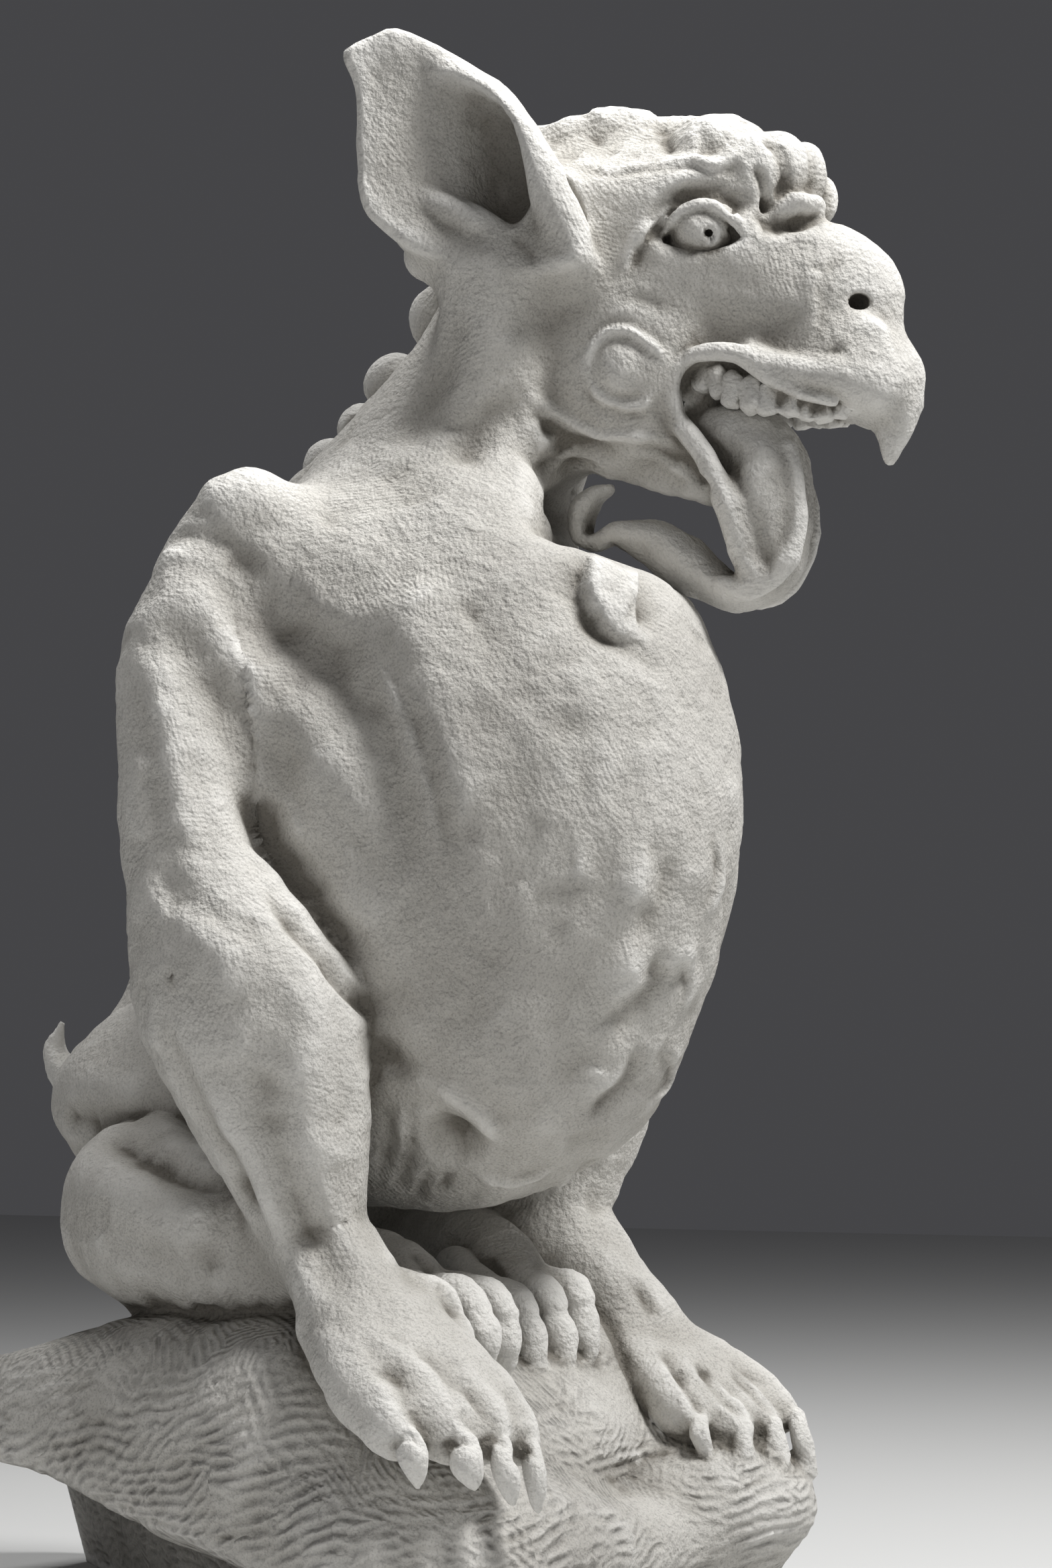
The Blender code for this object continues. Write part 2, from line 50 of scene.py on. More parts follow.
class Frame:
    """Rotated, shifted, possibly mirrored local frame; columns of M are its axes."""
    def __init__(s,o=(0,0,0),M=None):
        s.o=np.array(o,float); s.M=np.eye(3) if M is None else np.array(M,float)
    def p(s,q): return s.o+s.M@np.array(q,float)
    def m(s,R): return s.M@R
WORLD=Frame()
class Ell:
    def __init__(s,c,r,rot=(0,0,0),fr=WORLD):
        s.c=fr.p(c).astype(f32); s.R=fr.m(rotm(*rot)).astype(f32); s.r=np.array(r,f32)
        e=np.sqrt(((s.R*s.r)**2).sum(1)); s.lo=s.c-e; s.hi=s.c+e
    def ev(s,P,m,pl,ph):
        q=(P-s.c)@s.R
        a=q/s.r; k0=np.sqrt(np.einsum('ij,ij->i',a,a)); b=a/s.r; k1=np.sqrt(np.einsum('ij,ij->i',b,b))
        return np.where(k1>1e-6,k0*(k0-1)/np.maximum(k1,1e-6),-s.r.min()).astype(f32)
class Tube:
    """Chain of tapering round segments through stations, Catmull-Rom smoothed; flat=(axis, factor or factors) widens the section along axis."""
    def __init__(s,pts,rad,n=4,flat=None,fr=WORLD):
        pts=np.array([fr.p(p) for p in pts]); rad=np.array(rad,float)
        if rad.ndim==0: rad=np.full(len(pts),float(rad))
        s.flat=None
        if flat is not None:
            ax=fr.M@np.array(flat[0],float); ax/=np.linalg.norm(ax)
            k=np.broadcast_to(np.array(flat[1],float),(len(pts),)).copy()
            s.flat=(ax.astype(f32),catmull(pts,k,n)[1].astype(f32))
        s.P,s.r=catmull(pts,rad,n); s.P=s.P.astype(f32); s.r=s.r.astype(f32)
        s.w=np.ones(len(s.P),f32) if s.flat is None else np.maximum(s.flat[1],1)
        e=(s.r*s.w)[:,None]
        s.lo=(s.P-e).min(0); s.hi=(s.P+e).max(0)
    def ev(s,P,m,pl,ph):
        d=np.full(len(P),BIG,f32)
        for i in range(len(s.P)-1):
            a,b,ra,rb=s.P[i],s.P[i+1],s.r[i],s.r[i+1]
            if m is not None:
                R=max(ra*s.w[i],rb*s.w[i+1])+m
                if ((np.minimum(a,b)-R)>ph).any() or ((np.maximum(a,b)+R)<pl).any(): continue
            ab=b-a; L=ab@ab
            pa=P-a
            t=np.clip(pa@ab/max(L,f32(1e-9)),0,1)
            q=pa-t[:,None]*ab
            if s.flat is not None:
                ax,kk=s.flat; k=kk[i]+t*(kk[i+1]-kk[i]); c=q@ax; q=q+(c*(1/k-1))[:,None]*ax
                dd=(np.sqrt(np.einsum('ij,ij->i',q,q))-(ra+t*(rb-ra)))*np.minimum(f32(1),k)
            else:
                dd=np.sqrt(np.einsum('ij,ij->i',q,q))-(ra+t*(rb-ra))
            d=np.minimum(d,dd)
        return d
def catmull(P,r,n):
    if len(P)<3 or n<=1: return P,r
    Q=np.concatenate([[2*P[0]-P[1]],P,[2*P[-1]-P[-2]]]); R=np.concatenate([[2*r[0]-r[1]],r,[2*r[-1]-r[-2]]])
    out=[];ro=[]
    for i in range(1,len(Q)-2):
        for j in range(n):
            t=j/n; c=np.array([-.5*t+t*t-.5*t**3,1-2.5*t*t+1.5*t**3,.5*t+2*t*t-1.5*t**3,-.5*t*t+.5*t**3])
            out.append(c@Q[i-1:i+3]); ro.append(max(c@R[i-1:i+3],min(R[i],R[i+1])*.5))
    out.append(P[-1]); ro.append(r[-1])
    return np.array(out),np.array(ro)
class Box:
    def __init__(s,c,h,rot=(0,0,0),rd=0,fr=WORLD):
        s.c=fr.p(c).astype(f32); s.R=fr.m(rotm(*rot)).astype(f32); s.h=np.array(h,f32); s.rd=f32(rd)
        e=(np.abs(s.R)*s.h).sum(1); s.lo=s.c-e; s.hi=s.c+e
    def ev(s,P,m,pl,ph):
        q=np.abs((P-s.c)@s.R)-(s.h-s.rd)
        return np.sqrt((np.maximum(q,0)**2).sum(1))+np.minimum(q.max(1),0)-s.rd
class Half:
    """Half space below the plane through c with outward normal n."""
    def __init__(s,c,n,fr=WORLD):
        s.c=fr.p(c).astype(f32); n=fr.M@np.array(n,float); s.n=(n/np.linalg.norm(n)).astype(f32); s.lo=np.full(3,-1e6,f32); s.hi=np.full(3,1e6,f32)
    def ev(s,P,m,pl,ph): return (P-s.c)@s.n
def smin(a,b,k):
    if k<=0: return np.minimum(a,b)
    h=np.maximum(k-np.abs(a-b),0); return np.minimum(a,b)-h*h*(.25/k)
def smax(a,b,k):
    if k<=0: return np.maximum(a,b)
    h=np.maximum(k-np.abs(a-b),0); return np.maximum(a,b)+h*h*(.25/k)
class Grp:
    def __init__(s): s.it=[]; s.lo=np.full(3,1e9); s.hi=np.full(3,-1e9)
    def add(s,n,k=10): s.it.append((0,n,k)); s.lo=np.minimum(s.lo,n.lo-k/4); s.hi=np.maximum(s.hi,n.hi+k/4); return s
    def sub(s,n,k=6): s.it.append((1,n,k)); return s
    def inter(s,n,k=6): s.it.append((2,n,k)); return s
    def ev(s,P,m,pl,ph):
        d=None
        for op,n,k in s.it:
            if m is not None and op!=2:
                M=m+k
                if ((n.lo-M)>ph).any() or ((n.hi+M)<pl).any(): continue
            mm=None if m is None else m+k
            if op==1 and d is None: continue
            if d is None and op==2: continue
            e=n.ev(P,mm,pl,ph)
            if op==0: d=e if d is None else smin(d,e,k)
            elif op==1: d=smax(d,-e,k)
            else: d=smax(d,e,k)
        if d is None: d=np.full(len(P),BIG,f32)
        return d.astype(f32)
def evalg(root,P,band=None,bs=64.0):
    """Evaluate in spatial blocks so far primitives are skipped."""
    P=np.ascontiguousarray(P,dtype=f32)
    if band is None:
        out=np.empty(len(P),f32)
        for i in range(0,len(P),200000): out[i:i+200000]=root.ev(P[i:i+200000],None,None,None)
        return out
    b=np.floor(P/bs).astype(np.int64)+512
    key=(b[:,0]*1024+b[:,1])*1024+b[:,2]
    o=np.argsort(key,kind='stable'); ks=key[o]
    cut=np.flatnonzero(np.diff(ks))+1
    st=np.concatenate([[0],cut]); en=np.concatenate([cut,[len(P)]])
    out=np.empty(len(P),f32)
    for a,e in zip(st,en):
        ii=o[a:e]; Q=P[ii]
        out[ii]=root.ev(Q,band,Q.min(0),Q.max(0))
    return out
def mesh(root,h,lo,hi,L=1.5):
    """Narrow-band surface nets with cell size h (mm)."""
    lo=np.array(lo,float); hi=np.array(hi,float)
    S=[32*h,8*h,2*h] if h<4 else [16*h,4*h,2*h] if h<6 else [8*h,2*h]
    n=np.ceil((hi-lo)/S[0]).astype(int)
    idx=np.stack(np.meshgrid(*[np.arange(k) for k in n],indexing='ij'),-1).reshape(-1,3)
    for li,s in enumerate(S):
        c=lo+(idx+.5)*s
        r=s*.867*L
        d=evalg(root,c,band=None if li==0 else r+5)
        idx=idx[np.abs(d)<r]
        nxt=S[li+1] if li+1<len(S) else h
        f=int(round(s/nxt))
        if li+1<len(S):
            g=np.stack(np.meshgrid(*[np.arange(f)]*3,indexing='ij'),-1).reshape(-1,3)
            idx=(idx[:,None,:]*f+g[None]).reshape(-1,3)
    # corner test on the 2h lattice
    def corners(idx):
        g=np.array([[a,b,c] for a in (0,1) for b in (0,1) for c in (0,1)])
        q=(idx[:,None,:]+g[None]).reshape(-1,3)
        k=((q[:,0]+8)*4096+(q[:,1]+8))*4096+(q[:,2]+8)
        u,inv=np.unique(k,return_inverse=True)
        uq=np.stack([u//(4096*4096)-8,(u//4096)%4096-8,u%4096-8],-1)
        return u,uq,inv.reshape(len(idx),8)
    u,uq,inv=corners(idx)
    v=evalg(root,lo+uq*(2*h),band=4*h)
    cv=v[inv]; keep=((cv.min(1)<0)&(cv.max(1)>0))|(np.abs(cv).min(1)<.7*h)
    idx=idx[keep]
    g=np.stack(np.meshgrid(*[np.arange(2)]*3,indexing='ij'),-1).reshape(-1,3)
    idx=(idx[:,None,:]*2+g[None]).reshape(-1,3)
    u,uq,inv=corners(idx)
    v=evalg(root,lo+uq*h,band=2.5*h)
    cv=v[inv]; act=(cv.min(1)<0)&(cv.max(1)>=0)
    idx=idx[act]; inv=inv[act]; cv=cv[act]
    # vertex of each active cell
    E=[(0,1),(2,3),(4,5),(6,7),(0,2),(1,3),(4,6),(5,7),(0,4),(1,5),(2,6),(3,7)]
    off=np.array([[a,b,c] for a in (0,1) for b in (0,1) for c in (0,1)],float)
    acc=np.zeros((len(idx),3)); cnt=np.zeros(len(idx))
    for a,b in E:
        va,vb=cv[:,a],cv[:,b]; x=(va<0)!=(vb<0)
        t=np.where(x,va/np.where(x,va-vb,1),0)[:,None]
        p=off[a]+(off[b]-off[a])*t
        acc+=np.where(x[:,None],p,0); cnt+=x
    V=lo+(idx+acc/cnt[:,None])*h
    # cell key -> vertex id
    ck=((idx[:,0]+8)*4096+(idx[:,1]+8))*4096+(idx[:,2]+8)
    so=np.argsort(ck); cks=ck[so]
    def find(q):
        k=((q[:,0]+8)*4096+(q[:,1]+8))*4096+(q[:,2]+8)
        i=np.searchsorted(cks,k); i=np.minimum(i,len(cks)-1)
        ok=cks[i]==k
        return np.where(ok,so[i],-1)
    F=[]
    # each cell owns the 3 edges at its low corner (corner 0): to corner 4 (x),2 (y),1 (z)
    for ax,cb in ((0,4),(1,2),(2,1)):
        x=(cv[:,0]<0)!=(cv[:,cb]<0); I=idx[x]; s0=cv[x,0]<0
        e1=np.eye(3,dtype=int)[(ax+1)%3]; e2=np.eye(3,dtype=int)[(ax+2)%3]
        a=find(I); b=find(I-e1); c=find(I-e1-e2); dd=find(I-e2)
        q=np.stack([a,b,c,dd],-1); ok=(q>=0).all(1)
        q=q[ok]; s0=s0[ok]
        q[~s0]=q[~s0][:,::-1]
        F.append(q)
    F=np.concatenate(F)
    return V.astype(f32),F
def grad(root,P,band,e=.35):
    k=np.array([[1,-1,-1],[-1,-1,1],[-1,1,-1],[1,1,1]],f32)
    g=np.zeros((len(P),3),f32)
    for kk in k: g+=kk*evalg(root,P+kk*f32(e),band)[:,None]
    return g/(4*e)
def project(root,V,band,it=2):
    for _ in range(it):
        d=evalg(root,V,band); g=grad(root,V,band)
        gn=(g*g).sum(1); st=np.clip(d/np.maximum(gn,.25),-1.5,1.5)
        V=V-g*st[:,None]
    return V
class Poly:
    """Extruded smooth outline in the local (a,b) plane, thickness 2t along the local normal, dished by c (mm of rise per mm^2)."""
    def __init__(s,pts,t,rd=6,dish=(0,0,0,0),fr=WORLD,n=4,k=1.0):
        s.fr=fr; P=np.array(pts,float); Q=np.concatenate([P[-1:],P,P[:2]])
        out=[]
        for i in range(1,len(Q)-2):
            for j in range(n):
                u=j/n; c=np.array([-.5*u+u*u-.5*u**3,1-2.5*u*u+1.5*u**3,.5*u+2*u*u-1.5*u**3,-.5*u*u+.5*u**3]); out.append(c@Q[i-1:i+3])
        s.poly=np.array(out,f32); s.t=f32(t); s.rd=f32(rd); s.dish=dish
        b=np.array([[x,y,z] for x in (s.poly[:,0].min(),s.poly[:,0].max()) for y in (s.poly[:,1].min(),s.poly[:,1].max()) for z in (-t,t)])
        mx=0
        z=[s.mid(s.poly[:,0],s.poly[:,1]).min(),s.mid(s.poly[:,0],s.poly[:,1]).max(),0]
        b=np.array([[x,y,zz] for x in (s.poly[:,0].min(),s.poly[:,0].max()) for y in (s.poly[:,1].min(),s.poly[:,1].max()) for zz in (min(z)-t,max(z)+t)])
        w=np.array([fr.p(q) for q in b]); s.lo=w.min(0); s.hi=w.max(0)
    def mid(s,x,y):
        a0,b0,ca,cb=s.dish
        return ca*(x-a0)**2+cb*(y-b0)**2
    def ev(s,P,m,pl,ph):
        q=(P-s.fr.o.astype(f32))@s.fr.M.astype(f32)
        x,y=q[:,0],q[:,1]; z=q[:,2]-s.mid(x,y)
        d2=np.full(len(P),1e9,f32); sg=np.zeros(len(P),bool)
        A=s.poly; B=np.roll(A,-1,0)
        for a,b in zip(A,B):
            e=b-a; wx=x-a[0]; wy=y-a[1]; t=np.clip((wx*e[0]+wy*e[1])/(e@e+1e-9),0,1)
            d2=np.minimum(d2,(wx-e[0]*t)**2+(wy-e[1]*t)**2)
            c=((a[1]>y)!=(b[1]>y))
            if c.any(): sg^=c&(x<(b[0]-a[0])*(y-a[1])/(b[1]-a[1]+(1e-9 if b[1]==a[1] else 0))+a[0])
        d=np.sqrt(d2); d=np.where(sg,-d,d)
        qx=d+s.rd; qz=np.abs(z)-s.t+s.rd
        o=np.sqrt(np.maximum(qx,0)**2+np.maximum(qz,0)**2)+np.minimum(np.maximum(qx,qz),0)-s.rd
        return o.astype(f32)

# ---------------------------------------------------------------- the beast and its rock, in millimetres
REAR_CUT=392.0
ROCK=None
LO=(-340,-490,-12); HI=(340,400,1180)
HFa=np.array([.39,-.92,0]); HFa/=np.linalg.norm(HFa)
HSa=np.array([HFa[1],-HFa[0],0])
HEAD=Frame((10,-140,950),np.array([HFa,HSa,[0,0,1]]).T)   # local axes: forward, toward the creature's right, up
# the photograph's camera, in millimetres about the sculptor's axis
CA,CP=np.radians(-55.0),np.radians(5.5)
CB=np.array([np.sin(CA),-np.cos(CA),0]); CR=np.array([np.cos(CA),np.sin(CA),0])
CF=-np.cos(CP)*CB+np.array([0,0,np.sin(CP)]); CU=np.sin(CP)*CB+np.array([0,0,np.cos(CP)])
FPX=80/36*2338
EYEP=CB*2600-CR*((470.0-784)/FPX*2600*np.cos(CP))+np.array([0,0,370.0])
def sight(px):
    px=np.atleast_2d(np.array(px,float)); return CF+np.outer((px[:,0]-784)/FPX,CR)-np.outer((px[:,1]-1169)/FPX,CU)
def onhead(x,y,s):
    """Head coordinates of the picture point (x, y) in the plane s to the side of the head."""
    d=sight((x,y))[0]; t=((HEAD.o+s*HSa-EYEP)@HSa)/(d@HSa); P=EYEP+t*d-HEAD.o
    return np.array([P@HFa,s,P[2]])
def onbody(x,y,X):
    d=sight((x,y))[0]; return EYEP+(X-EYEP[0])/d[0]*d
def ribbon(px,step=9.0):
    """Smooth picture line through the given points, with a point every few pixels."""
    P=np.array(px,float)
    if len(P)>2: P=catmull(P,np.ones(len(P)),8)[0]
    L=np.concatenate([[0],np.cumsum(np.linalg.norm(np.diff(P,axis=0),axis=1))]); n=max(2,int(L[-1]/step)+1)
    t=np.linspace(0,L[-1],n); return np.stack([np.interp(t,L,P[:,0]),np.interp(t,L,P[:,1])],1)
class Skin:
    """The meshed form, its normals, and where a line of sight meets it."""
    def __init__(s,V,F,N):
        s.V=V.astype(float); s.F=F; s.N=N.astype(float); s.off=np.zeros(len(V)); s.t=BVHTree.FromPolygons(V.tolist(),F.tolist())
        s.cell=np.floor(s.V/40).astype(np.int64); s.key=((s.cell[:,0]+64)*256+s.cell[:,1]+64)*256+s.cell[:,2]+64
        s.ord=np.argsort(s.key,kind="stable"); s.ks=s.key[s.ord]
    def near(s,lo,hi):
        a=np.floor(lo/40).astype(int); b=np.floor(hi/40).astype(int); out=[]
        for i in range(a[0],b[0]+1):
            for j in range(a[1],b[1]+1):
                k=((i+64)*256+j+64)*256+64; x,y=np.searchsorted(s.ks,[k+a[2],k+b[2]+1]); out.append(s.ord[x:y])
        I=np.concatenate(out) if out else np.zeros(0,int); P=s.V[I]
        return I[((P>lo)&(P<hi)).all(1)]
    def cast(s,px):
        """Runs of surface points (and normals) behind a picture line, broken where it leaps to another surface."""
        runs=[]; cur=[]
        for d in sight(px):
            d=d/np.linalg.norm(d); q,_,i,_=s.t.ray_cast(Vector(EYEP),Vector(d))
            if q is None: runs.append(cur); cur=[]; continue
            q=np.array(q); n=s.N[s.F[i]].mean(0)
            if cur and np.linalg.norm(q-cur[-1][0])>28: runs.append(cur); cur=[]
            cur.append((q,n/np.linalg.norm(n)))
        runs.append(cur)
        return [(np.array([c[0] for c in r]),np.array([c[1] for c in r])) for r in runs if len(r)>1 or (len(r) and len(px)==1)]
    def mirror(s,P,how):
        Q=P*np.array([-1,1,1]) if how=='b' else P-2*((P-HEAD.o)@HSa)[:,None]*HSa; A=[];B=[]
        for q in Q:
            p,_,i,dist=s.t.find_nearest(Vector(q)); n=s.N[s.F[i]].mean(0); A.append(np.array(p)); B.append(n/np.linalg.norm(n))
        return np.array(A),np.array(B)
    def stroke(s,kind,P,M,w,d,flip=1):
        """One groove 'g', sharp cut 'v', ridge 'r' or step 's' (raised on the left of its direction) along P, half-width w, depth d."""
        I=s.near(P.min(0)-w,P.max(0)+w)
        if not len(I): return
        Q=s.V[I]; best=np.full(len(I),1e9); side=np.zeros(len(I)); tt=np.zeros(len(I)); nn=np.zeros((len(I),3))
        L=np.concatenate([[0],np.cumsum(np.linalg.norm(np.diff(P,axis=0),axis=1))])
        for i in range(len(P)-1):
            ab=P[i+1]-P[i]; l2=max(ab@ab,1e-9); m=((Q>np.minimum(P[i],P[i+1])-w)&(Q<np.maximum(P[i],P[i+1])+w)).all(1)
            if not m.any(): continue
            q=Q[m]-P[i]; t=np.clip(q@ab/l2,0,1); r=q-t[:,None]*ab; dd=np.sqrt((r*r).sum(1)); J=np.flatnonzero(m); k=dd<best[J]; J=J[k]
            best[J]=dd[k]; n=M[i]+(M[i+1]-M[i])*t[k][:,None]; nn[J]=n; lf=np.cross(n,ab/np.sqrt(l2)); side[J]=(r[k]*lf).sum(1)*flip; tt[J]=L[i]+t[k]*np.sqrt(l2)
        x=best/w; ok=(x<1)&((s.N[I]*nn).sum(1)>.15)
        tp=np.clip(np.minimum(tt,L[-1]-tt)/max(L[-1]*.2,w*.7)+.12,0,1); x=np.minimum(x,1)
        if kind=='g': o=-d*(1-x*x)**2
        elif kind=='v': o=-d*(1-x)**1.3
        elif kind=='r': o=d*(1-x*x)**2
        else: o=d*np.where(side>0,np.clip(side/3.0,0,1)*(1-x)**1.2,-.45*np.clip(-side/2.0,0,1)*(1-x)**2)
        s.off[I]+=np.where(ok,o*tp,0)
    def dent(s,kind,p,n,wa,wb,d):
        a=np.cross([0,0,1.0],n); a/=max(np.linalg.norm(a),1e-6); b=np.cross(n,a); w=max(wa,wb)
        I=s.near(p-w,p+w)
        if not len(I): return
        q=s.V[I]-p; x=np.sqrt((q@a/wa)**2+(q@b/wb)**2); ok=(x<1)&(np.abs(q@n)<w*.8+4)&(s.N[I]@n>.1)
        s.off[I]+=np.where(ok,(1 if kind=='r' else -1)*d*(1-np.minimum(x,1)**2)**(2 if kind!='h' else .8),0)
    def draw(s,S,D):
        for q in S:
            kind,px,w,d=q[:4]; how=q[4] if len(q)>4 else None
            for P,M in s.cast(ribbon(px)):
                s.stroke(kind,P,M,w,d)
                if how and len(P)>1: s.stroke(kind,*s.mirror(P,how),w,d,-1)
        for q in D:
            kind,px,(wa,wb),d=q[:4]; how=q[4] if len(q)>4 else None
            for P,M in s.cast(np.array([px],float)):
                s.dent(kind,P[0],M[0],wa,wb,d)
                if how: A,B=s.mirror(P[:1],how); s.dent(kind,A[0],B[0],wa,wb,d)
def build():
    R=Grp()
    # --- torso
    T=Grp()
    T.add(Ell((0,-110,592),(180,238,277)),0)
    T.add(Ell((0,-200,424),(116,82,86)),40)
    T.add(Tube([(0,-135,396),(0,-40,400),(0,70,385)],[84,90,98]),30)
    T.add(Ell((0,96,384),(112,132,78)),36)
    T.add(Tube([(0,-104,784),(0,-120,845),(5,-147,900),(16,-172,950),(30,-189,990)],[102,78,60,56,56]),36)
    T.add(Tube([(62,0,-30),(50,0,-75),(36,0,-112),(18,0,-150),(10,0,-196)],[58,50,44,44,50],fr=HEAD),22)      # throat under the jaw hinge
    # shoulders
    for sx in (-1,1):
        T.add(Ell((sx*108,-76,736),(66,80,74)),40)
        T.add(Tube([(sx*148,-70,788),(sx*158,-62,738),(sx*160,-64,680),(sx*156,-78,612),(sx*144,-98,548),(sx*122,-120,490)],[30,36,35,32,27,20],n=3),26)
        T.add(Ell((sx*158,-62,798),(24,27,27)),14)
    # spine
    T.add(Tube([(0,-5,800),(0,45,745),(0,92,670),(0,118,600),(0,138,520),(0,160,440)],[18,22,24,24,24,24]),30)
    K=Grp(); K.add(Box((142,0,-175),(80,170,60),rd=14,fr=HEAD),0)      # room for the curled tongue, down to a shelf over the chest
    K.inter(Half((76,0,-177),(-.30,0,-.954),fr=HEAD),12)
    T.sub(K,16); T.sub(Ell((96,0,-138),(50,66,22),fr=HEAD),8)
    R.add(T,0)
    # crest scallops
    C=Grp()
    for (x,y,r,rx) in ((651,474,24,15),(590,574,24,16),(538,638,17,16),(491,700,23,18)):
        C.add(Ell(onbody(x,y,2),(rx,r,r)),2)
    R.add(C,5)
    # tail
    R.add(Tube([(0,205,410),(0,240,402),(0,257,413),(0,261,426),(0,254,444)],[26,17,13,9,3.5],n=3),16)
    # haunches
    for sx in (-1,1):
        H=Grp()
        H.add(Tube([(sx*92,78,312),(sx*124,50,303),(sx*140,12,296),(sx*148,-40,288),(sx*140,-92,272)],[62,66,62,52,40],n=3),0)
        H.add(Ell((sx*95,62,252),(38,34,26)),12)
        R.add(H,9)
    # hind feet, each toe a curled knuckle over a drop-shaped claw
    for sx,claws in ((-1,(((668,1962),(690,2038),-126),((712,1960),(733,2036),-93),((753,1962),(751,2055),-59))),(1,(((785,1958),(796,2052),16),((828,1953),(843,2046),48),((866,1943),(881,2036),80)))):
        Fg=Grp()
        dy,dz=(0,0) if sx<0 else (16,10)
        Fg.add(Tube([(sx*118,-30,262+dz),(sx*92,-82+dy,262+dz),(sx*74,-128+dy,254+dz*.7),(sx*(84 if sx<0 else 56),-166+dy,240)],[46,40,33,27],n=3),0)
        for a,b,X in claws:
            A=onbody(*a,X); Z=onbody(*b,X); k=A*.5+Z*.5
            Fg.add(Tube([(A[0]*.7+sx*26,-118+dy,258+dz*.6),A+(0,34,14),A+(0,12,11),A+(0,2,2)],[14,14.5,13.5,11.5],n=3),3)
            Fg.add(Tube([A+(0,6,2),A*.7+Z*.3+(0,0,0),A*.4+Z*.6+(0,-1,0),Z],[9.5,12.5,10.5,2.8],n=3),1)
        R.add(Fg,8)
    # forelegs
    near=[(-164,-52,794,27),(-176,-37,764,29),(-188,-32,738,29),(-199,-28,713,31),(-207,-28,690,33),(-212,-34,661,36),(-214,-43,622,39),(-214,-49,589,43),(-213,-55,560,46),(-211,-64,530,51),(-209,-75,504,60),(-202,-98,452,76),(-192,-112,410,69),(-183,-120,370,60),(-176,-129,330,46),(-169,-133,300,38),(-167,-147,274,36),(-168,-172,246,34),(-172,-196,222,32)]
    far=[(164,-52,794,27),(176,-37,764,29),(188,-32,738,29),(199,-28,713,31),(207,-28,690,33),(212,-34,661,36),(214,-43,622,39),(214,-49,589,43),(213,-55,560,46),(211,-64,530,51),(204,-76,504,60),(191,-94,452,75),(177,-104,410,68),(167,-108,370,59),(160,-109,330,46),(156,-112,300,39),(155,-127,274,36),(159,-151,246,34),(166,-178,218,32)]
    for L in (near,far):
        A=Grp(); A.add(Tube([p[:3] for p in L],[p[3] for p in L],n=3,flat=((1,0,0),.94)),0); R.add(A,22)
    for sx in (-1,1): R.add(Tube([(sx*190,-49,712),(sx*187,-59,679),(sx*184,-67,642),(sx*184,-77,604)],[14,21,23,18],n=3),22)
    # front paws: thick knuckled toes with hooked nails in their cuticles
    for hand,toes in (
        (((502,1922,-174,32),(548,1972,-178,32),(590,2015,-180,31)),
         (((498,1975,-194),(538,2062,-216),(580,2118,-224),(606,2152,-226),(622,2214),19),
          ((540,1985,-188),(592,2048,-198),(650,2116,-199),(686,2164,-198),(706,2214),19),
          ((585,1990,-174),(652,2052,-172),(708,2118,-171),(742,2168,-170),(764,2238),17.5),
          ((610,1975,-158),(694,2048,-148),(758,2124,-143),(788,2172,-142),(802,2248),15.5))),
        (((940,1990,160,29),(974,2026,166,29),(1006,2052,168,28)),
         (((940,2015,142),(982,2060,130),(1016,2100,127),(1038,2126,126),(1055,2176),15),
          ((975,2030,152),(1028,2070,150),(1074,2114,150),(1106,2142,150),(1114,2200),16),
          ((1000,2025,168),(1060,2062,174),(1112,2106,177),(1148,2136,178),(1164,2204),16),
          ((1010,2015,180),(1084,2048,196),(1142,2092,203),(1180,2122,205),(1212,2194),15.5)))):
        Pg=Grp(); nails=[]
        Pg.add(Tube([onbody(*h[:3]) for h in hand],[h[3] for h in hand],n=3,flat=((0,-.55,.83),.8)),0)
        for a,b,c,d,z,r in toes:
            p=[onbody(*v) for v in (a,b,c,d)]; A=p[3]; Z=onbody(*z,d[2])+(0,-6,0); p[3]=p[2]*.5+A*.5
            Pg.add(Tube(p,[r+6,r+5.5,r+3.5,r+.5],n=3),11)
            x0,y0=d[:2]; x1,y1=z; u=d[2]
            nails.append([onbody(x0+(x1-x0)*.25,y0-10,u-5),onbody(x0+(x1-x0)*.45,y0+(y1-y0)*.28,u-9),onbody(x0+(x1-x0)*.8,y0+(y1-y0)*.68,u-7),onbody(x1,y1+2,u-3)]+[r])
        R.add(Pg,12)
        for a,b,c,d,r in nails: R.add(Tube([a,b,c,d],[r*.5,r*.55,r*.4,2.4],n=3),1.5)
    # --- head
    H=Grp(); f=HEAD
    S=Grp()
    S.add(Ell((75,0,62),(106,70,98),fr=f),0)
    S.add(Ell((125,0,72),(100,64,90),fr=f),30)
    S.add(Ell((170,0,62),(66,62,82),fr=f),30)
    for sg in (1,-1): S.inter(Half((100,0,154),(0,.675*sg,.738),fr=f),3)      # roof planes of the crown
    H.add(S,0)
    H.add(Ell((200,0,100),(47,50,31),fr=f),12)
    H.add(Ell((235,0,8),(80,44,62),fr=f),30)         # snout
    H.add(Ell((290,0,-50),(40,34,36),fr=f),22)       # upper lip
    H.add(Ell((110,0,-30),(75,68,75),fr=f),30)       # cheek / jaw hinge
    H.add(Tube([(105,0,-66),(140,0,-88),(176,0,-112)],[46,38,26],fr=f,n=3),16)  # lower jaw
    two=lambda fn: [fn(1),fn(-1)]
    P_=lambda sg: (lambda x,y,s: onhead(x,y,abs(s))*np.array([1,sg,1]))
    for sg in (1,-1):                                 # lip rolls
        q=P_(sg)
        H.add(Tube([q(1120,536,40),q(1160,550,42),q(1205,558,41),q(1255,560,37),q(1300,570,29)],[9,11,13,15,17],fr=f,n=3),20)
    H.add(Tube([(308,0,-70),(306.5,0,-87),(304,0,-97),(302.5,0,-108)],[20,13.5,10,5.5],fr=f,n=3),6)
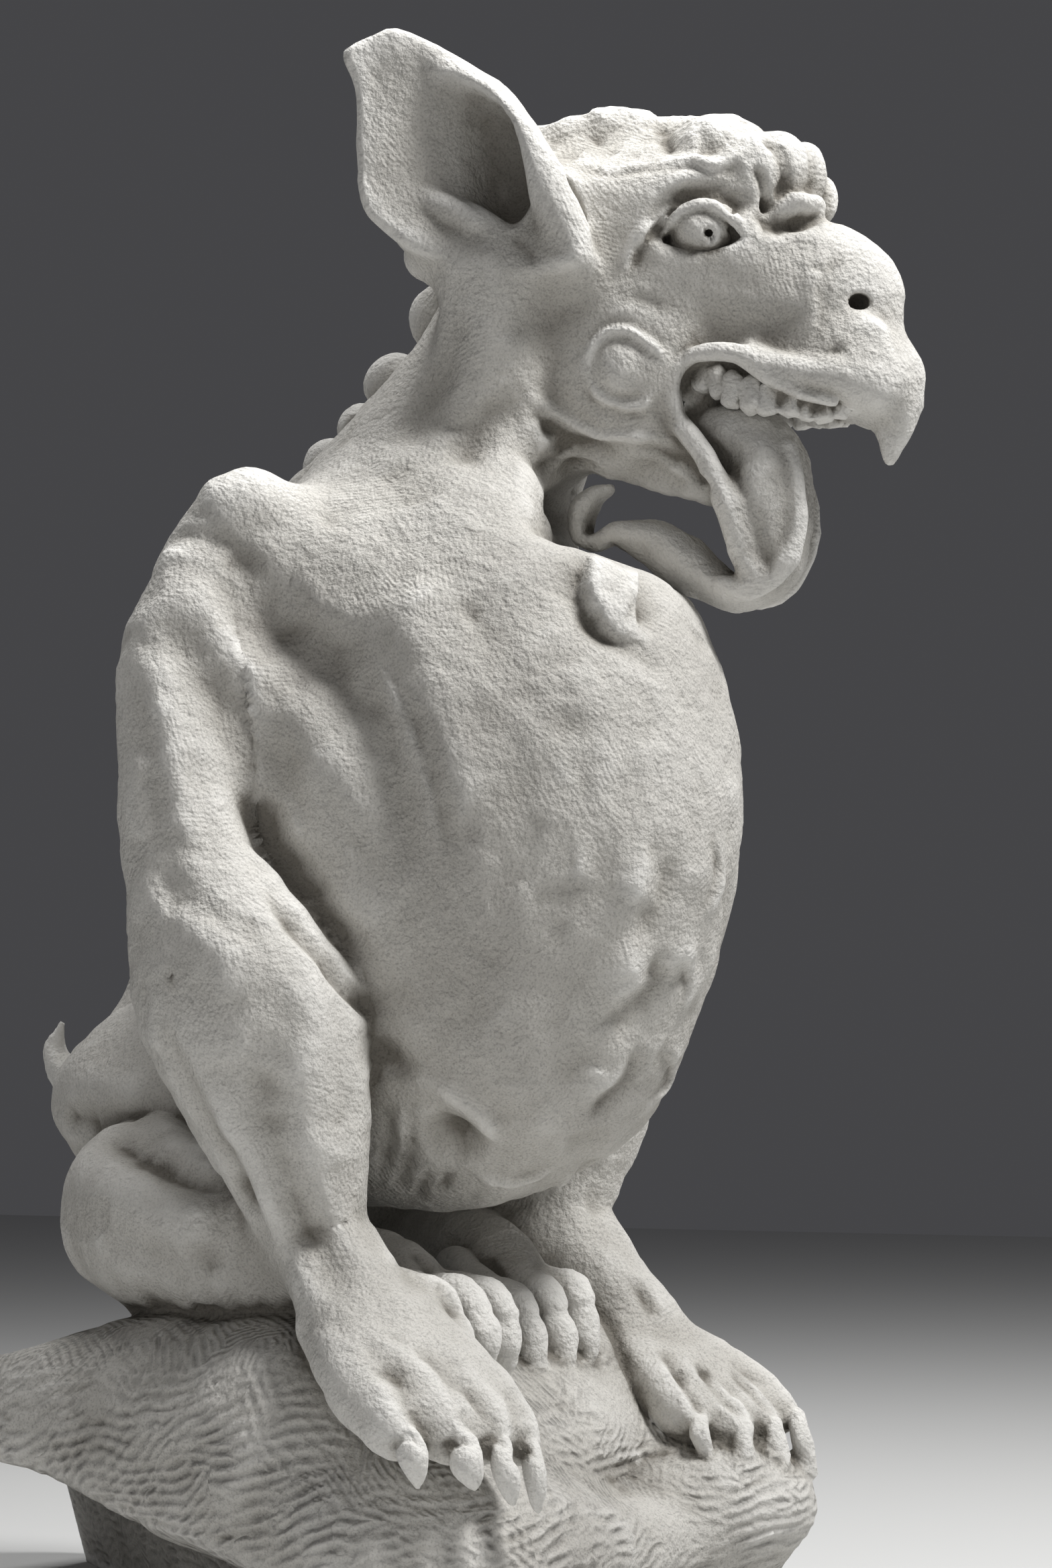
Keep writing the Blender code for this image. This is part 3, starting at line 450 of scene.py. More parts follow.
    # mouth
    cut=[(1011,596),(1010,566),(1020,550),(1042,542),(1072,539),(1102,543),(1130,559),(1162,582),(1212,600),(1250,606),(1280,616),(1298,634),(1305,652),(1310,700),(1270,790),(1180,720),(1090,676),(1036,650)]
    H.sub(Poly([onhead(x,y,44)[[0,2]] for x,y in cut],90,rd=2,fr=side_plane(0,1),n=3),4)
    for sg in (1,-1):
        q=P_(sg)
        H.add(Tube([q(1002,612,40),q(1001,585,44),q(1006,556,47),q(1022,536,48),q(1048,526,49),q(1078,524,49),q(1106,530,47),(q(1132,549,46)),q(1160,571,46),q(1204,590,44),q(1240,598,40)],[3.5,4.5,5,5.5,6,6,6,6,5.5,5,4],fr=f,n=3),4)
    # crown's broken ridge and the folded brow
    H.add(Tube([onhead(838,205,8),onhead(870,202,4),onhead(910,197,0),onhead(950,201,2),onhead(978,210,4)],[12,15,17,15,11],fr=f,n=3),10)
    H.add(Ell(onhead(1066,230,12),(34,38,27),fr=f),12)
    for (x,y,s,r,rot) in ((1120,256,36,(24,20,28),(0,8,0)),(1160,250,20,(24,24,26),(0,10,0)),(1196,262,-4,(18,24,25),(0,4,0)),(1222,300,-24,(13,15,19),(0,0,0)),(1182,318,14,(25,26,12),(0,-18,0))):
        H.add(Ell(onhead(x,y,s),r,rot=rot,fr=f),7)
        if s>30: H.add(Ell(onhead(x,y,s)*np.array([1,-1,1]),r,rot=rot,fr=f),7)
    R.add(H,14)
    # eyes: a mound, an almond opening in it, the ball, and rolled lids
    for sg in (1,-1):
        q=P_(sg); c=onhead(1048,346,42); c[1]=0
        def on(x,y,lift=0.0):
            t=60.0
            for _ in range(4):
                p=onhead(x,y,t); t=40+24*math.sqrt(max(1-((p[0]-c[0])/37)**2-((p[2]-c[2])/27)**2,.04))
            return onhead(x,y,t+lift)*np.array([1,sg,1])
        R.sub(Ell((c[0]+2,sg*70,c[2]+3),(38,17,26),fr=f),8)
        R.add(Ell((c[0],sg*40,c[2]),(37,24,27),fr=f),4)
        A=[(988,358),(1000,342),(1016,328),(1034,319),(1052,316),(1072,321),(1090,334),(1105,354),(1090,363),(1074,370),(1050,375),(1024,372),(1003,366)]
        R.sub(Poly([onhead(x,y,60)[[0,2]] for x,y in A],16,rd=1,fr=side_plane(60,sg)),1)
        R.add(Ell((c[0]-1,sg*45.5,c[2]-1),(23.5,21,20),fr=f),1)
        R.sub(Tube([on(1056,348,6),on(1056,348,-9)],[3.7,3.7],fr=f),.8)
        R.sub(Tube([on(994,357,6),on(994,357,-9)],[3.0,3.0],fr=f),.8)
        R.sub(Tube([on(1090,343,6),on(1090,343,-9)],[3.4,3.4],fr=f),.8); R.sub(Tube([on(1095,352,6),on(1095,352,-9)],[3.0,3.0],fr=f),.8)
        R.add(Tube([on(980,364),on(986,348),on(1002,328,1),on(1025,312,1.5),on(1050,306,2),on(1076,313,1.5),on(1097,329,1),on(1114,352)],[2.2,3.6,4.2,4.4,4.6,4.4,4,2.6],fr=f),2)
        R.add(Tube([on(980,361),on(1000,372),on(1024,380,.6),on(1050,384,.8),on(1077,379,.6),on(1099,366),on(1116,350)],[2,3,3.4,3.6,3.4,3,2],fr=f),2)
    # nostrils
    for sg in (1,-1):
        q=P_(sg)
        R.sub(Tube([q(1282,448,48),q(1282,449,38),q(1280,451,18)],[7.5,8,6.5],fr=f,n=3,flat=((0,0,1),.8)),3)
        R.sub(Tube([q(1284,449,41),q(1304,456,35),q(1324,468,26)],[7,6.5,4.5],fr=f,n=3),4)
        R.add(Ell(q(1250,512,30),(34,13,15),rot=(0,8,0),fr=f),16)
        R.add(Ell(q(1290,488,30),(15,10,7.5),rot=(0,14,0),fr=f),8)
    # tongue
    TG=Tube([(165,0,-86),(190,0,-88),(212,0,-104),(215,0,-138),(218,0,-166),(218,0,-184),(208,0,-197),(194,0,-202),(180,0,-197),(165,0,-187),(150,0,-177),(134,0,-165),(117,0,-158),(103,0,-156),(90,0,-162),(80,0,-160),(77,0,-147),(80,0,-136),(88,0,-127),(99,0,-123)],
        [18,24,30,32,27,20,16,13.5,14,16.5,19,17,12,8,7,7.5,9.5,10,7,3.5],fr=f,n=4,flat=((0,1,0),[1.4,1.3,1.25,1.3,1.3,1.5,1.9,2.1,2.0,1.7,1.5,1.6,2.0,2.4,2.4,2.2,2.0,2.0,2.2,2.2]))
    R.add(TG,3)
    R.sub(Tube([(186,0,-58),(222,0,-70),(256,0,-112),(262,0,-150),(252,0,-186)],[7,8,9,9,6],fr=f,n=4),6)
    for sg in (1,-1): # bead along the inner edge, and the line inside the outer one
        q=P_(sg)
        R.add(Tube([q(1002,600,43),q(1012,626,41),q(1036,660,39),q(1062,704,38),q(1084,752,37),q(1099,800,34),q(1113,840,30),q(1126,852,26)],[4,5.5,7.5,9,10,10.5,9.5,7],fr=f,n=3),9)
        R.add(Tube([q(1176,668,26),q(1186,720,28),q(1189,770,28),q(1180,818,27),q(1156,856,27),q(1118,878,27),(q(1078,870,27))],[6,7,7.5,7.5,7,7,6],fr=f,n=3),4)
        R.sub(Tube([q(1158,640,42),q(1180,700,44),q(1190,760,42),q(1186,820,38),q(1160,868,34),q(1110,884,34)],[3.5,4,4,4,3.5,3],fr=f,n=3),3)
    # gums inside the mouth and the chunky teeth hanging from the lip
    R.add(Tube([onhead(1030,600,0),onhead(1048,572,0),onhead(1090,570,0),onhead(1150,580,0),onhead(1210,588,0),onhead(1262,594,0)],[24,22,17,14,10,7],fr=f,n=3,flat=((0,1,0),[1.0,1.3,1.7,1.8,1.8,1.6])),2)
    for sg in (1,-1):
        q=P_(sg)
        for i,(x,y,s,r,rt) in enumerate(((1050,566,26,(6.5,6,9),14),(1070,574,29,(6,6,10),-8),(1092,584,34,(6.5,6,11),10),(1120,592,37,(7.5,7,10.5),-12),(1148,598,38,(7,7,10.5),12),(1176,604,37,(7.5,7,10),-14),(1201,610,34,(6,6.5,9),14),(1225,614,30,(7,6.5,8),-10),(1252,612,25,(6,6,6.5),8))):
            if sg<0: y-=16
            G=Grp(); G.add(Box(q(x,y,s),r,rot=(8*sg+5*math.sin(2.7*i),rt,14*sg+9*math.sin(4.1*i+1)),rd=3.2,fr=f),0); G.add(Ell(q(x,y-12,s-4),(r[0]*.9,9,9),fr=f),4)
            G.inter(Half(q(x,y+20,s+5),(.35*math.sin(3.3*i),.55*sg,-.75),fr=f),1.5)
            R.add(G,1.2)
    # ear
    for sg in (1,-1):
        ear(R,sg)
    # --- rock
    B=Grp()
    B.add(Box((0,-14,120),(244,190,116),rd=92),0)
    B.add(Box((6,-160,74),(236,112,66),rot=(27,0,0),rd=40),34)
    B.add(Box((10,240,96),(232,186,96),rot=(-5,0,0),rd=60),30)
    B.add(Box((0,97,10),(208,313,60),rd=30),24)
    B.add(Ell((0,-168,140),(150,66,46)),26)
    B.add(Ell((172,-226,90),(80,92,58)),30)
    B.add(Ell((-184,-226,97),(72,88,62)),34)
    B.add(Ell((-92,-212,82),(112,80,54)),40)
    B.inter(Half((-200,6,238),(-.178,.27,1)),24)
    B.inter(Half((-252,150,120),(-1,.25,.35)),30)
    B.inter(Half((-190,-250,130),(-.5,-.8,.35)),60)
    B.inter(Half((240,200,150),(1,.2,.5)),36)
    U=Grp()
    U.add(Box((0,100,-60),(700,900,220)),0)
    a=np.array([-.325,.289,-1.0]); U.inter(Half((-270,58,139),-a),14)
    U.inter(Half((-270,58,139),(0,.10,1)),20)
    U.inter(Half((-60,32,0),(464,-320,180)),20)
    B.sub(U,16)
    R.add(B,10)
    R.inter(Half((0,0,0),(0,0,-1)),0)
    R.inter(Half((0,REAR_CUT,0),(0,1,0)),0)
    global ROCK
    ROCK=B
    return R
class Hd:
    """A shape as it is; keeps the bounds."""
    def __init__(s,n): s.n=n; s.lo=n.lo; s.hi=n.hi
    def ev(s,*a): return s.n.ev(*a)
def side_plane(s,sg):
    return Frame(HEAD.p((0,sg*s,0)),HEAD.M@np.array([[1,0,0],[0,0,sg],[0,1,0]]).T)
def ear(R,sg):
    back=0 if sg==1 else -10.0
    o=Frame(HEAD.p((back,0,0)),HEAD.M)
    q=lambda x,y,s: onhead(x,y,abs(s))*np.array([1,sg,1])
    out=[(600,54),(561,70),(532,88),(526,104),(541,148),(543,190),(543,240),(545,294),(558,330),(590,360),(618,379),(660,394),(700,404),(760,420),(830,412),(873,398),(868,350),(846,290),(822,236),(806,199),(787,171),(758,133),(715,105),(658,76)]
    if sg<0: out[6:13]=[(556,236),(574,276),(600,310),(630,336),(660,356),(690,374),(716,392)]
    E=Grp()
    fr=Frame(o.p((0,sg*81,0)),o.M@np.array([[1,0,0],[0,0,sg],[0,1,0]]).T)
    E.add(Poly([q(x,y,84)[[0,2]] for x,y in out],13,rd=8,dish=(26,92,.0020,.0006),fr=fr,n=3),0)
    E.add(Tube([q(596,76,88),q(630,90,91),q(670,112,94),q(710,139,97),q(743,170,99),q(771,203,101),q(797,246,101),q(823,298,98),q(845,348,92),q(860,384,85)],[7,8.5,10,11,12,13.5,15,16,16,13],fr=o,n=3),6)
    E.add(Tube([q(706,180,76),q(742,236,72),q(768,290,68),q(790,350,62)],[16,26,30,26],fr=o,n=3),12)     # the bowl's convex back
    E.add(Tube([q(640,384,60),q(700,404,64),q(770,414,66),q(836,408,66)],[18,24,27,22],fr=o,n=3),14)   # root of the ear on the neck
    E.add(Tube([(32,66,20),(30,60,-12),(26,50,-48),(24,40,-88)],[27,31,33,32],fr=o,n=3),26)
    R.add(E,20)
    R.sub(Tube([q(672,140,106),q(704,174,98),q(734,222,90),q(752,274,86),q(748,314,92)],[10,17,24,25,14],fr=o,n=4),11)
    R.sub(Ell(q(674,240,122),(46,37,60),rot=(0,-12,0),fr=o),16)
    R.sub(Tube([q(812,212,74),q(838,272,76),q(858,320,74),q(872,356,70)],[4,5.5,5.5,4],fr=o,n=3),4)
    R.add(Tube([q(614,287,86),q(648,301,88),q(688,320,89),q(722,337,89),q(758,356,87)],[4,7.5,10,10.5,9],fr=o,n=3),7)   # fold under the bowl
BODY_STROKES=[
 ('r',[(222,960),(240,1040),(258,1130),(270,1220),(285,1290)],19.3,3,'b'),
 ('r',[(440,1440),(462,1520),(464,1610),(468,1700),(484,1790),(516,1870),(556,1930)],23.0,4.5,'b'),
 ('g',[(392,1560),(400,1640),(418,1720),(450,1800),(490,1880),(530,1944)],19.5,4,'b'),
 ('r',[(300,1560),(330,1640),(366,1720),(404,1800),(444,1890),(486,1960)],19.4,4,'b'),
 ('g',[(232,1510),(262,1580),(292,1640),(330,1710),(366,1780),(402,1850)],15.5,5,'b'),
 ('g',[(560,1548),(592,1584),(622,1612)],15.5,5,'b'),
 ('r',[(640,1612),(678,1636),(714,1664),(738,1700)],12.2,4,'b'),
 ('r',[(712,1750),(742,1758),(780,1760),(822,1746)],8.3,4,'b'),
 ('g',[(586,1640),(580,1700),(566,1760)],8.6,3,'b'),
 ('g',[(612,1650),(612,1710),(596,1775)],8.6,3,'b'),
 ('g',[(640,1745),(628,1775),(620,1792)],7.6,3,'b'),
 ('g',[(668,1748),(660,1775)],7.3,2.5,'b'),
 ('g',[(140,1840),(200,1868),(270,1880),(350,1880)],19.5,3,'b'),
 ('g',[(610,1862),(640,1890),(662,1930),(684,1966)],8.7,4,'b'),
 ('g',[(984,2008),(1004,2034),(1030,2076),(1050,2110)],8.0,5),
 ('g',[(1040,2030),(1058,2056),(1086,2090),(1112,2112)],8.0,5),
 ('g',[(1090,2040),(1118,2072),(1150,2104)],8.0,4.5),
 ('g',[(690,700),(700,664),(726,632),(760,606),(790,596)],19.9,6,'b'),
 ('g',[(690,450),(680,490),(664,540),(644,590),(612,640),(580,672)],22,5,'b'),
 ('g',[(800,706),(826,690),(850,694)],20.5,8,'b'),
 ('r',[(262,850),(296,900),(330,955),(380,1010),(430,1062),(470,1112),(504,1175),(530,1240)],34,10,'b'),
 ('g',[(318,842),(372,886),(430,940),(500,1010),(552,1080),(596,1150),(628,1222),(648,1296),(654,1360)],38,7,'b'),
 ('g',[(292,975),(314,1030),(332,1084),(345,1140),(362,1205),(384,1262),(408,1320)],24,2.5,'b'),
 ('r',[(430,1180),(470,1260),(520,1340),(560,1410),(596,1470)],34,6,'b'),
 ('g',[(380,1180),(408,1246),(446,1310),(496,1376),(540,1432)],20,6,'b'),
 ('r',[(560,860),(616,930),(650,1010),(668,1100),(686,1190),(694,1290)],44,8,'b'),
 ('s',[(668,1300),(652,1210),(628,1120),(596,1040),(560,970)],30,3,'b'),
 ('g',[(255,800),(300,812),(350,830),(392,862)],16,4,'b'),
 ('r',[(236,840),(262,824),(300,822),(340,842)],16,4,'b'),
 ('v',[(96,1664),(136,1679),(168,1691),(200,1712),(240,1737),(282,1756),(330,1773),(380,1792)],18,8,'b'),
 ('g',[(126,1672),(160,1686),(200,1712),(260,1748),(320,1772)],34,4,'b'),
 ('r',[(120,1612),(170,1618),(220,1640),(262,1680)],26,5,'b'),
 ('g',[(150,1655),(200,1672),(250,1706)],20,3,'b'),
 ('r',[(112,1730),(160,1752),(220,1790),(290,1820),(360,1835)],30,5,'b'),
 ('g',[(400,1322),(433,1373),(460,1403),(485,1431),(512,1468),(540,1498),(560,1520)],13,7,'b'),
 ('g',[(200,1010),(216,1080),(228,1150),(238,1220),(252,1290)],20,2.5,'b'),
 ('g',[(226,1300),(262,1330),(304,1360),(346,1396)],16,2.2,'b'),
 ('r',[(262,1350),(310,1400),(360,1450)],18,2.5,'b'),
 ('r',[(910,1358),(934,1342),(950,1322),(958,1296),(970,1262)],28,5),
 ('g',[(940,1376),(962,1360),(976,1338),(986,1306),(996,1272)],20,6),
 ('r',[(884,1508),(916,1486),(938,1464),(938,1436),(926,1404)],28,5),
 ('g',[(902,1528),(932,1508),(956,1490),(972,1462),(966,1426)],20,6),
 ('r',[(852,1638),(884,1622),(908,1602),(914,1576)],26,5),
 ('g',[(872,1658),(902,1642),(930,1622),(946,1594),(942,1562)],18,6),
 ('s',[(1062,1244),(1068,1285),(1065,1310),(1056,1340),(1040,1366)],24,4),
 ('s',[(1006,1420),(1024,1444),(1026,1476),(1010,1506)],20,3.5),
 ('s',[(986,1566),(1000,1588),(992,1618),(968,1640)],18,3.5),
 ('s',[(898,800),(884,816),(873,842),(868,873),(881,910),(911,948),(944,960)],52,10),
 ('r',[(906,830),(908,870),(926,912)],34,5),
 ('g',[(872,900),(890,932),(918,958),(952,976),(984,1010)],14,3.5),
 ('s',[(948,952),(946,900),(950,864),(961,838)],22,4),
 ('r',[(900,1420),(922,1450),(914,1484)],40,6),
 ('r',[(938,1290),(948,1318),(930,1346)],36,5),
 ('r',[(880,1570),(902,1594),(888,1620)],38,5),
 ('r',[(1030,1262),(1036,1300),(1024,1340)],30,5),
 ('r',[(1000,1392),(1010,1430),(1000,1470)],32,5),
 ('v',[(586,2162),(592,2150),(606,2143),(621,2148),(634,2163)],5,3.5),
 ('v',[(657,2164),(668,2154),(688,2149),(703,2151),(713,2164)],5,3.5),
 ('v',[(714,2156),(726,2148),(742,2146),(754,2153),(761,2166)],5,3),
 ('v',[(767,2182),(776,2168),(790,2163),(802,2170)],5,3),
 ('v',[(560,2020),(584,2045),(601,2066),(610,2096),(630,2124),(645,2152)],11,4),
 ('v',[(602,1996),(630,2018),(656,2042),(672,2068),(684,2098),(702,2124),(714,2152)],11,4),
 ('v',[(674,2044),(690,2072),(712,2100),(738,2128),(760,2160)],10,3.5),
 ('v',[(1000,2036),(1032,2058),(1058,2082),(1072,2110),(1078,2136)],9,3),
 ('v',[(1040,2034),(1076,2058),(1104,2086),(1126,2118)],9,3),
 ('v',[(1084,2026),(1122,2054),(1150,2086),(1174,2118)],9,3),
]
BODY_DENTS=[
 ('g',(674,1700),(30.7,34.5),17,'b'),
 ('g',(505,985),(24.6,29.4),4,'b'),
 ('g',(765,1165),(20.8,27.2),2.5,'b'),
 ('g',(850,1090),(23.0,20.8),2.5,'b'),
 ('g',(596,1995),(9,8),1.5),
 ('g',(556,2018),(9,7),1.5),
 ('g',(674,2041),(8,7),1.2),
]
HEAD_STROKES=[
 ('g',[(1176,338),(1200,332),(1224,326)],6.1,3,'h'),
 ('g',[(1130,330),(1150,345),(1172,342)],9.1,4,'h'),
 ('r',[(786,586),(806,604),(838,626),(868,642),(900,650),(940,650),(986,664)],8.4,4.5,'h'),
 ('g',[(800,620),(830,644),(860,662),(900,672),(930,678)],13.7,7,'h'),
 ('r',[(804,684),(812,664),(834,648)],6.9,2.5,'h'),
 ('g',[(938,674),(966,668),(1000,682),(1036,708),(1062,738)],9.5,6,'h'),
 ('r',[(1130,366),(1180,352),(1230,350)],10,2,'h'),
 ('v',[(1206,398),(1228,400),(1254,386)],6,2.5,'h'),
 ('g',[(1120,312),(1150,330),(1180,336),(1206,330)],9,5,'h'),
 ('r',[(1150,300),(1183,292),(1210,302)],7,2.5,'h'),
 ('g',[(1070,420),(1110,426),(1150,420)],16,2,'h'),
 ('v',[(1128,202),(1150,216),(1164,236),(1169,274),(1150,308)],8,4.5,'h'),
 ('v',[(1198,204),(1212,245),(1208,288)],6,3,'h'),
 ('v',[(1122,246),(1134,272),(1141,306)],8,4.5,'h'),
 ('s',[(1142,306),(1133,276),(1120,246),(1100,226)],12,2,'h'),
 ('v',[(984,180),(992,206),(1000,232)],9,4,'h'),
 ('g',[(864,548),(868,522),(884,498),(908,482),(930,480),(960,491),(992,518)],7,1.6,'h'),
 ('r',[(872,556),(873,533),(887,507),(908,493),(928,490),(952,500),(984,526),(1004,542)],5,3,'h'),
 ('g',[(884,548),(888,530),(898,516),(910,506),(926,504),(946,512),(972,534)],7,1.8,'h'),
 ('r',[(877,560),(882,578),(896,594),(916,602),(940,606),(962,602),(972,584)],6,3,'h'),
 ('g',[(868,566),(874,586),(892,604),(916,613),(944,617),(970,612)],7,2,'h'),
 ('g',[(888,562),(896,580),(914,591),(938,595),(956,588)],7,2,'h'),
 ('g',[(924,450),(946,445),(970,450),(992,460)],8,2.2,'h'),
 ('s',[(1204,506),(1218,486),(1222,462),(1216,436),(1224,410),(1250,392)],15,2.4,'h'),
 ('g',[(1036,478),(1080,484),(1120,482),(1160,490),(1200,500)],22,2.6,'h'),
 ('s',[(934,404),(948,372),(966,347),(990,324),(1012,309)],11,5.5,'h'),
 ('v',[(940,402),(954,374),(971,351),(994,329)],7,2.5,'h'),
 ('g',[(1000,296),(1030,283),(1066,280),(1096,292)],11,4,'h'),
 ('s',[(826,242),(848,266),(880,251),(902,259),(953,252),(1004,247),(1030,245),(1071,255),(1108,232)],24,3,'h'),
 ('g',[(766,350),(784,372),(800,392)],7,2.5,'h'),
 ('s',[(984,254),(1030,246),(1060,254),(1086,249),(1110,232)],18,3,'h'),
 ('g',[(560,240),(580,300),(620,340)],22,2.5),
]
HEAD_DENTS=[
 ('g',(1245,521),(11.0,7),2.5,'h'),
 ('r',(920,550),(19.1,20.5),3,'h'),
 ('g',(965,705),(27.1,19.6),8,'h'),
 ('g',(1010,722),(19.1,13.6),6,'h'),
 ('g',(1143,306),(6.8,7.8),7,'h'),
 ('g',(1098,304),(15,13),6,'h'),
 ('g',(1143,305),(5,6),6,'h'),
]

# ---------------------------------------------------------------- polygonise
ORIGIN_SHIFT = np.array([-0.45, -25.1, 0.0])
CELL = 2.6
root = build()
V, F = mesh(root, CELL, LO, HI)
V = project(root, V, 2.5 * CELL, 2)
N = grad(root, V, 2.5 * CELL)
N /= np.maximum(np.linalg.norm(N, axis=1), 1e-6)[:, None]


def smoothstep(a, b, x):
    t = np.clip((x - a) / (b - a), 0, 1)
    return t * t * (3 - 2 * t)


def lattice(i, j, k, seed):
    """A fixed pseudo-random number from 0 to 1 for each lattice point."""
    h = i * 374761393 + j * 668265263 + k * 2147483647 + seed * 974711
    h = (h ^ (h >> 13)) * 1274126177
    return ((h ^ (h >> 16)) & 0xFFFF) / 65535.0


def noise(P, cell, seed):
    q = P / cell
    i = np.floor(q).astype(np.int64)
    f = q - i
    f = f * f * (3 - 2 * f)
    out = np.zeros(len(P))
    for a in (0, 1):
        for b in (0, 1):
            for c in (0, 1):
                w = (f[:, 0] if a else 1 - f[:, 0]) * (f[:, 1] if b else 1 - f[:, 1]) * (f[:, 2] if c else 1 - f[:, 2])
                out += w * lattice(i[:, 0] + a, i[:, 1] + b, i[:, 2] + c, seed)
    return out * 2 - 1


def facets(P, cell, seed, sharp):
    """Small flats left by the chisel: every cell is a plane with its own tilt, blended narrowly into the next."""
    q = P / cell
    i = np.floor(q).astype(np.int64)
    num = np.zeros(len(P))
    den = np.full(len(P), 1e-9)
    for a in (-1, 0, 1):
        for b in (-1, 0, 1):
            for c in (-1, 0, 1):
                I = (i[:, 0] + a, i[:, 1] + b, i[:, 2] + c)
                d = q - np.stack([I[n] + lattice(*I, seed + n) for n in range(3)], 1)
                tilt = np.stack([lattice(*I, seed + 3 + n) - .5 for n in range(3)], 1)
                w = np.exp(-sharp * (d * d).sum(1))
                num += w * ((d * tilt).sum(1) + .35 * (lattice(*I, seed + 6) - .5))
                den += w
    return num / den


# the drawn creases, folds and wrinkles
skin = Skin(V, F, N)
skin.draw(BODY_STROKES + HEAD_STROKES, BODY_DENTS + HEAD_DENTS)
P = V.astype(float)
off = skin.off.copy()
rock = evalg(ROCK, V, 40.0)
free = smoothstep(0.5, 7.0, P[:, 2]) * smoothstep(REAR_CUT - 0.3, REAR_CUT - 6, P[:, 1])
on_rock = smoothstep(4.0, 1.0, rock) * free
# the rock's lumps and hollows, then furrows cut by the point chisel: level and wavy on the sides, short and fanned on top
off += on_rock * (noise(P, 95.0, 21) * 5.5 + noise(P, 42.0, 22) * 3.0 + facets(P, 34.0, 71, 8.0) * 3.0)


def furrows(P):
    """Phases of the side and top furrows at each point, in turns."""
    warp = noise(P, 80.0, 3) * 8 + noise(P, 34.0, 5) * 4.5 + noise(P, 14.0, 7) * 2.4
    side = (P[:, 2] * 0.95 + P[:, 1] * 0.16 - P[:, 0] * .05 + warp) / 8.6
    lean = noise(P, 90.0, 31) * 1.5
    top = (P[:, 0] * .86 - P[:, 1] * .5 + noise(P, 64.0, 33) * 26 + lean * 9 + noise(P, 22.0, 9) * 4) / 6.2
    return side, top


side, top = furrows(P)
slope = smoothstep(.5, .8, N[:, 2])
broken = smoothstep(-.45, .15, noise(P, 15.0, 41)) * smoothstep(-.6, 0.0, noise(P, 40.0, 43))
off += on_rock * ((np.cos(2 * np.pi * side) - 1) * .8 * (1 - slope) * (.15 + .85 * broken) + (np.cos(2 * np.pi * top) - 1) * .55 * slope * broken)
# flats and small unevenness of the beast
beast = (1 - on_rock) * free
head_zone = smoothstep(860, 900, P[:, 2]) * smoothstep(-60, -110, P[:, 1])
off += beast * (facets(P, 40.0, 53, 7.0) * 5.5 * (1 - .75 * head_zone) + facets(P, 21.0, 51, 8.0) * 3.4 * (1 - .4 * head_zone) + noise(P, 48.0, 11) * 1.1)
crown = smoothstep(1040, 1062, P[:, 2]) * (np.abs((P - HEAD.o) @ HSa) < 62) * smoothstep(235, 215, (P - HEAD.o) @ HFa)
off += crown * facets(P, 17.0, 61, 9.0) * 5.0
V = V + (N * off[:, None]).astype(V.dtype)
V[:, 2] = np.maximum(V[:, 2], 0)

me = bpy.data.meshes.new("gargoyle_stone")
co = (V - ORIGIN_SHIFT) * 0.001
me.vertices.add(len(co))
me.vertices.foreach_set("co", co.astype(np.float32).ravel())
me.loops.add(len(F) * 4)
me.loops.foreach_set("vertex_index", F.astype(np.int32).ravel())
me.polygons.add(len(F))
me.polygons.foreach_set("loop_start", np.arange(len(F), dtype=np.int32) * 4)
me.update()
me.validate()
stone = bpy.data.objects.new("gargoyle_stone", me)
bpy.context.scene.collection.objects.link(stone)
dec = stone.modifiers.new("budget", "DECIMATE")
dec.ratio = min(1.0, 197000 / (2 * len(F)))
bpy.context.view_layer.update()
final = bpy.data.meshes.new_from_object(stone.evaluated_get(bpy.context.evaluated_depsgraph_get()))
stone.modifiers.clear()
stone.data = final
bpy.data.meshes.remove(me)
final.name = "gargoyle_stone"
final.shade_smooth()
print("visual triangles", len(final.polygons))

# how hollow or proud each point lies: painted shade darkening the hollows, and paler wear on the proud edges
nv = len(final.vertices)
co = np.empty(nv * 3)
final.vertices.foreach_get("co", co)
co = co.reshape(-1, 3)
no = np.empty(nv * 3)
final.vertices.foreach_get("normal", no)
no = no.reshape(-1, 3)
ed = np.empty(len(final.edges) * 2, np.int64)
final.edges.foreach_get("vertices", ed)
ed = ed.reshape(-1, 2)
dp = co[ed[:, 0]] - co[ed[:, 1]]
cv = ((no[ed[:, 0]] - no[ed[:, 1]]) * dp).sum(1) / np.maximum((dp * dp).sum(1), 1e-9)


def spread(values_on_edges):
    s = np.zeros(nv)
    n = np.zeros(nv)
    for k in (0, 1):
        np.add.at(s, ed[:, k], values_on_edges)
        np.add.at(n, ed[:, k], 1)
    return s / np.maximum(n, 1)


curve = spread(cv)
for _ in range(3):
    curve = .5 * curve + .5 * spread((curve[ed[:, 0]] + curve[ed[:, 1]]) / 2)
wide = curve.copy()
for _ in range(14):
    wide = spread((wide[ed[:, 0]] + wide[ed[:, 1]]) / 2)
# painted shade: low values (hollows) are darkened in the colour below; high values (proud edges) go paler as wear
hollow_shade_and_edge_wear = np.clip(.5 + curve / 260 + wide / 120, 0, 1)
Q = co * 1000.0 + ORIGIN_SHIFT
side, top = furrows(Q)
rocky = smoothstep(5.0, 1.5, evalg(ROCK, Q.astype(np.float32), 40.0)) * smoothstep(REAR_CUT - 1, REAR_CUT - 6, Q[:, 1]) * smoothstep(.5, 5, Q[:, 2])
for name, value in (("hollow_shade_and_edge_wear", hollow_shade_and_edge_wear), ("rocky", rocky), ("side_turns", side), ("top_turns", top), ("upward", smoothstep(.45, .78, no[:, 2]))):
    at = final.attributes.new(name, "FLOAT", "POINT")
    at.data.foreach_set("value", value.astype(np.float32))

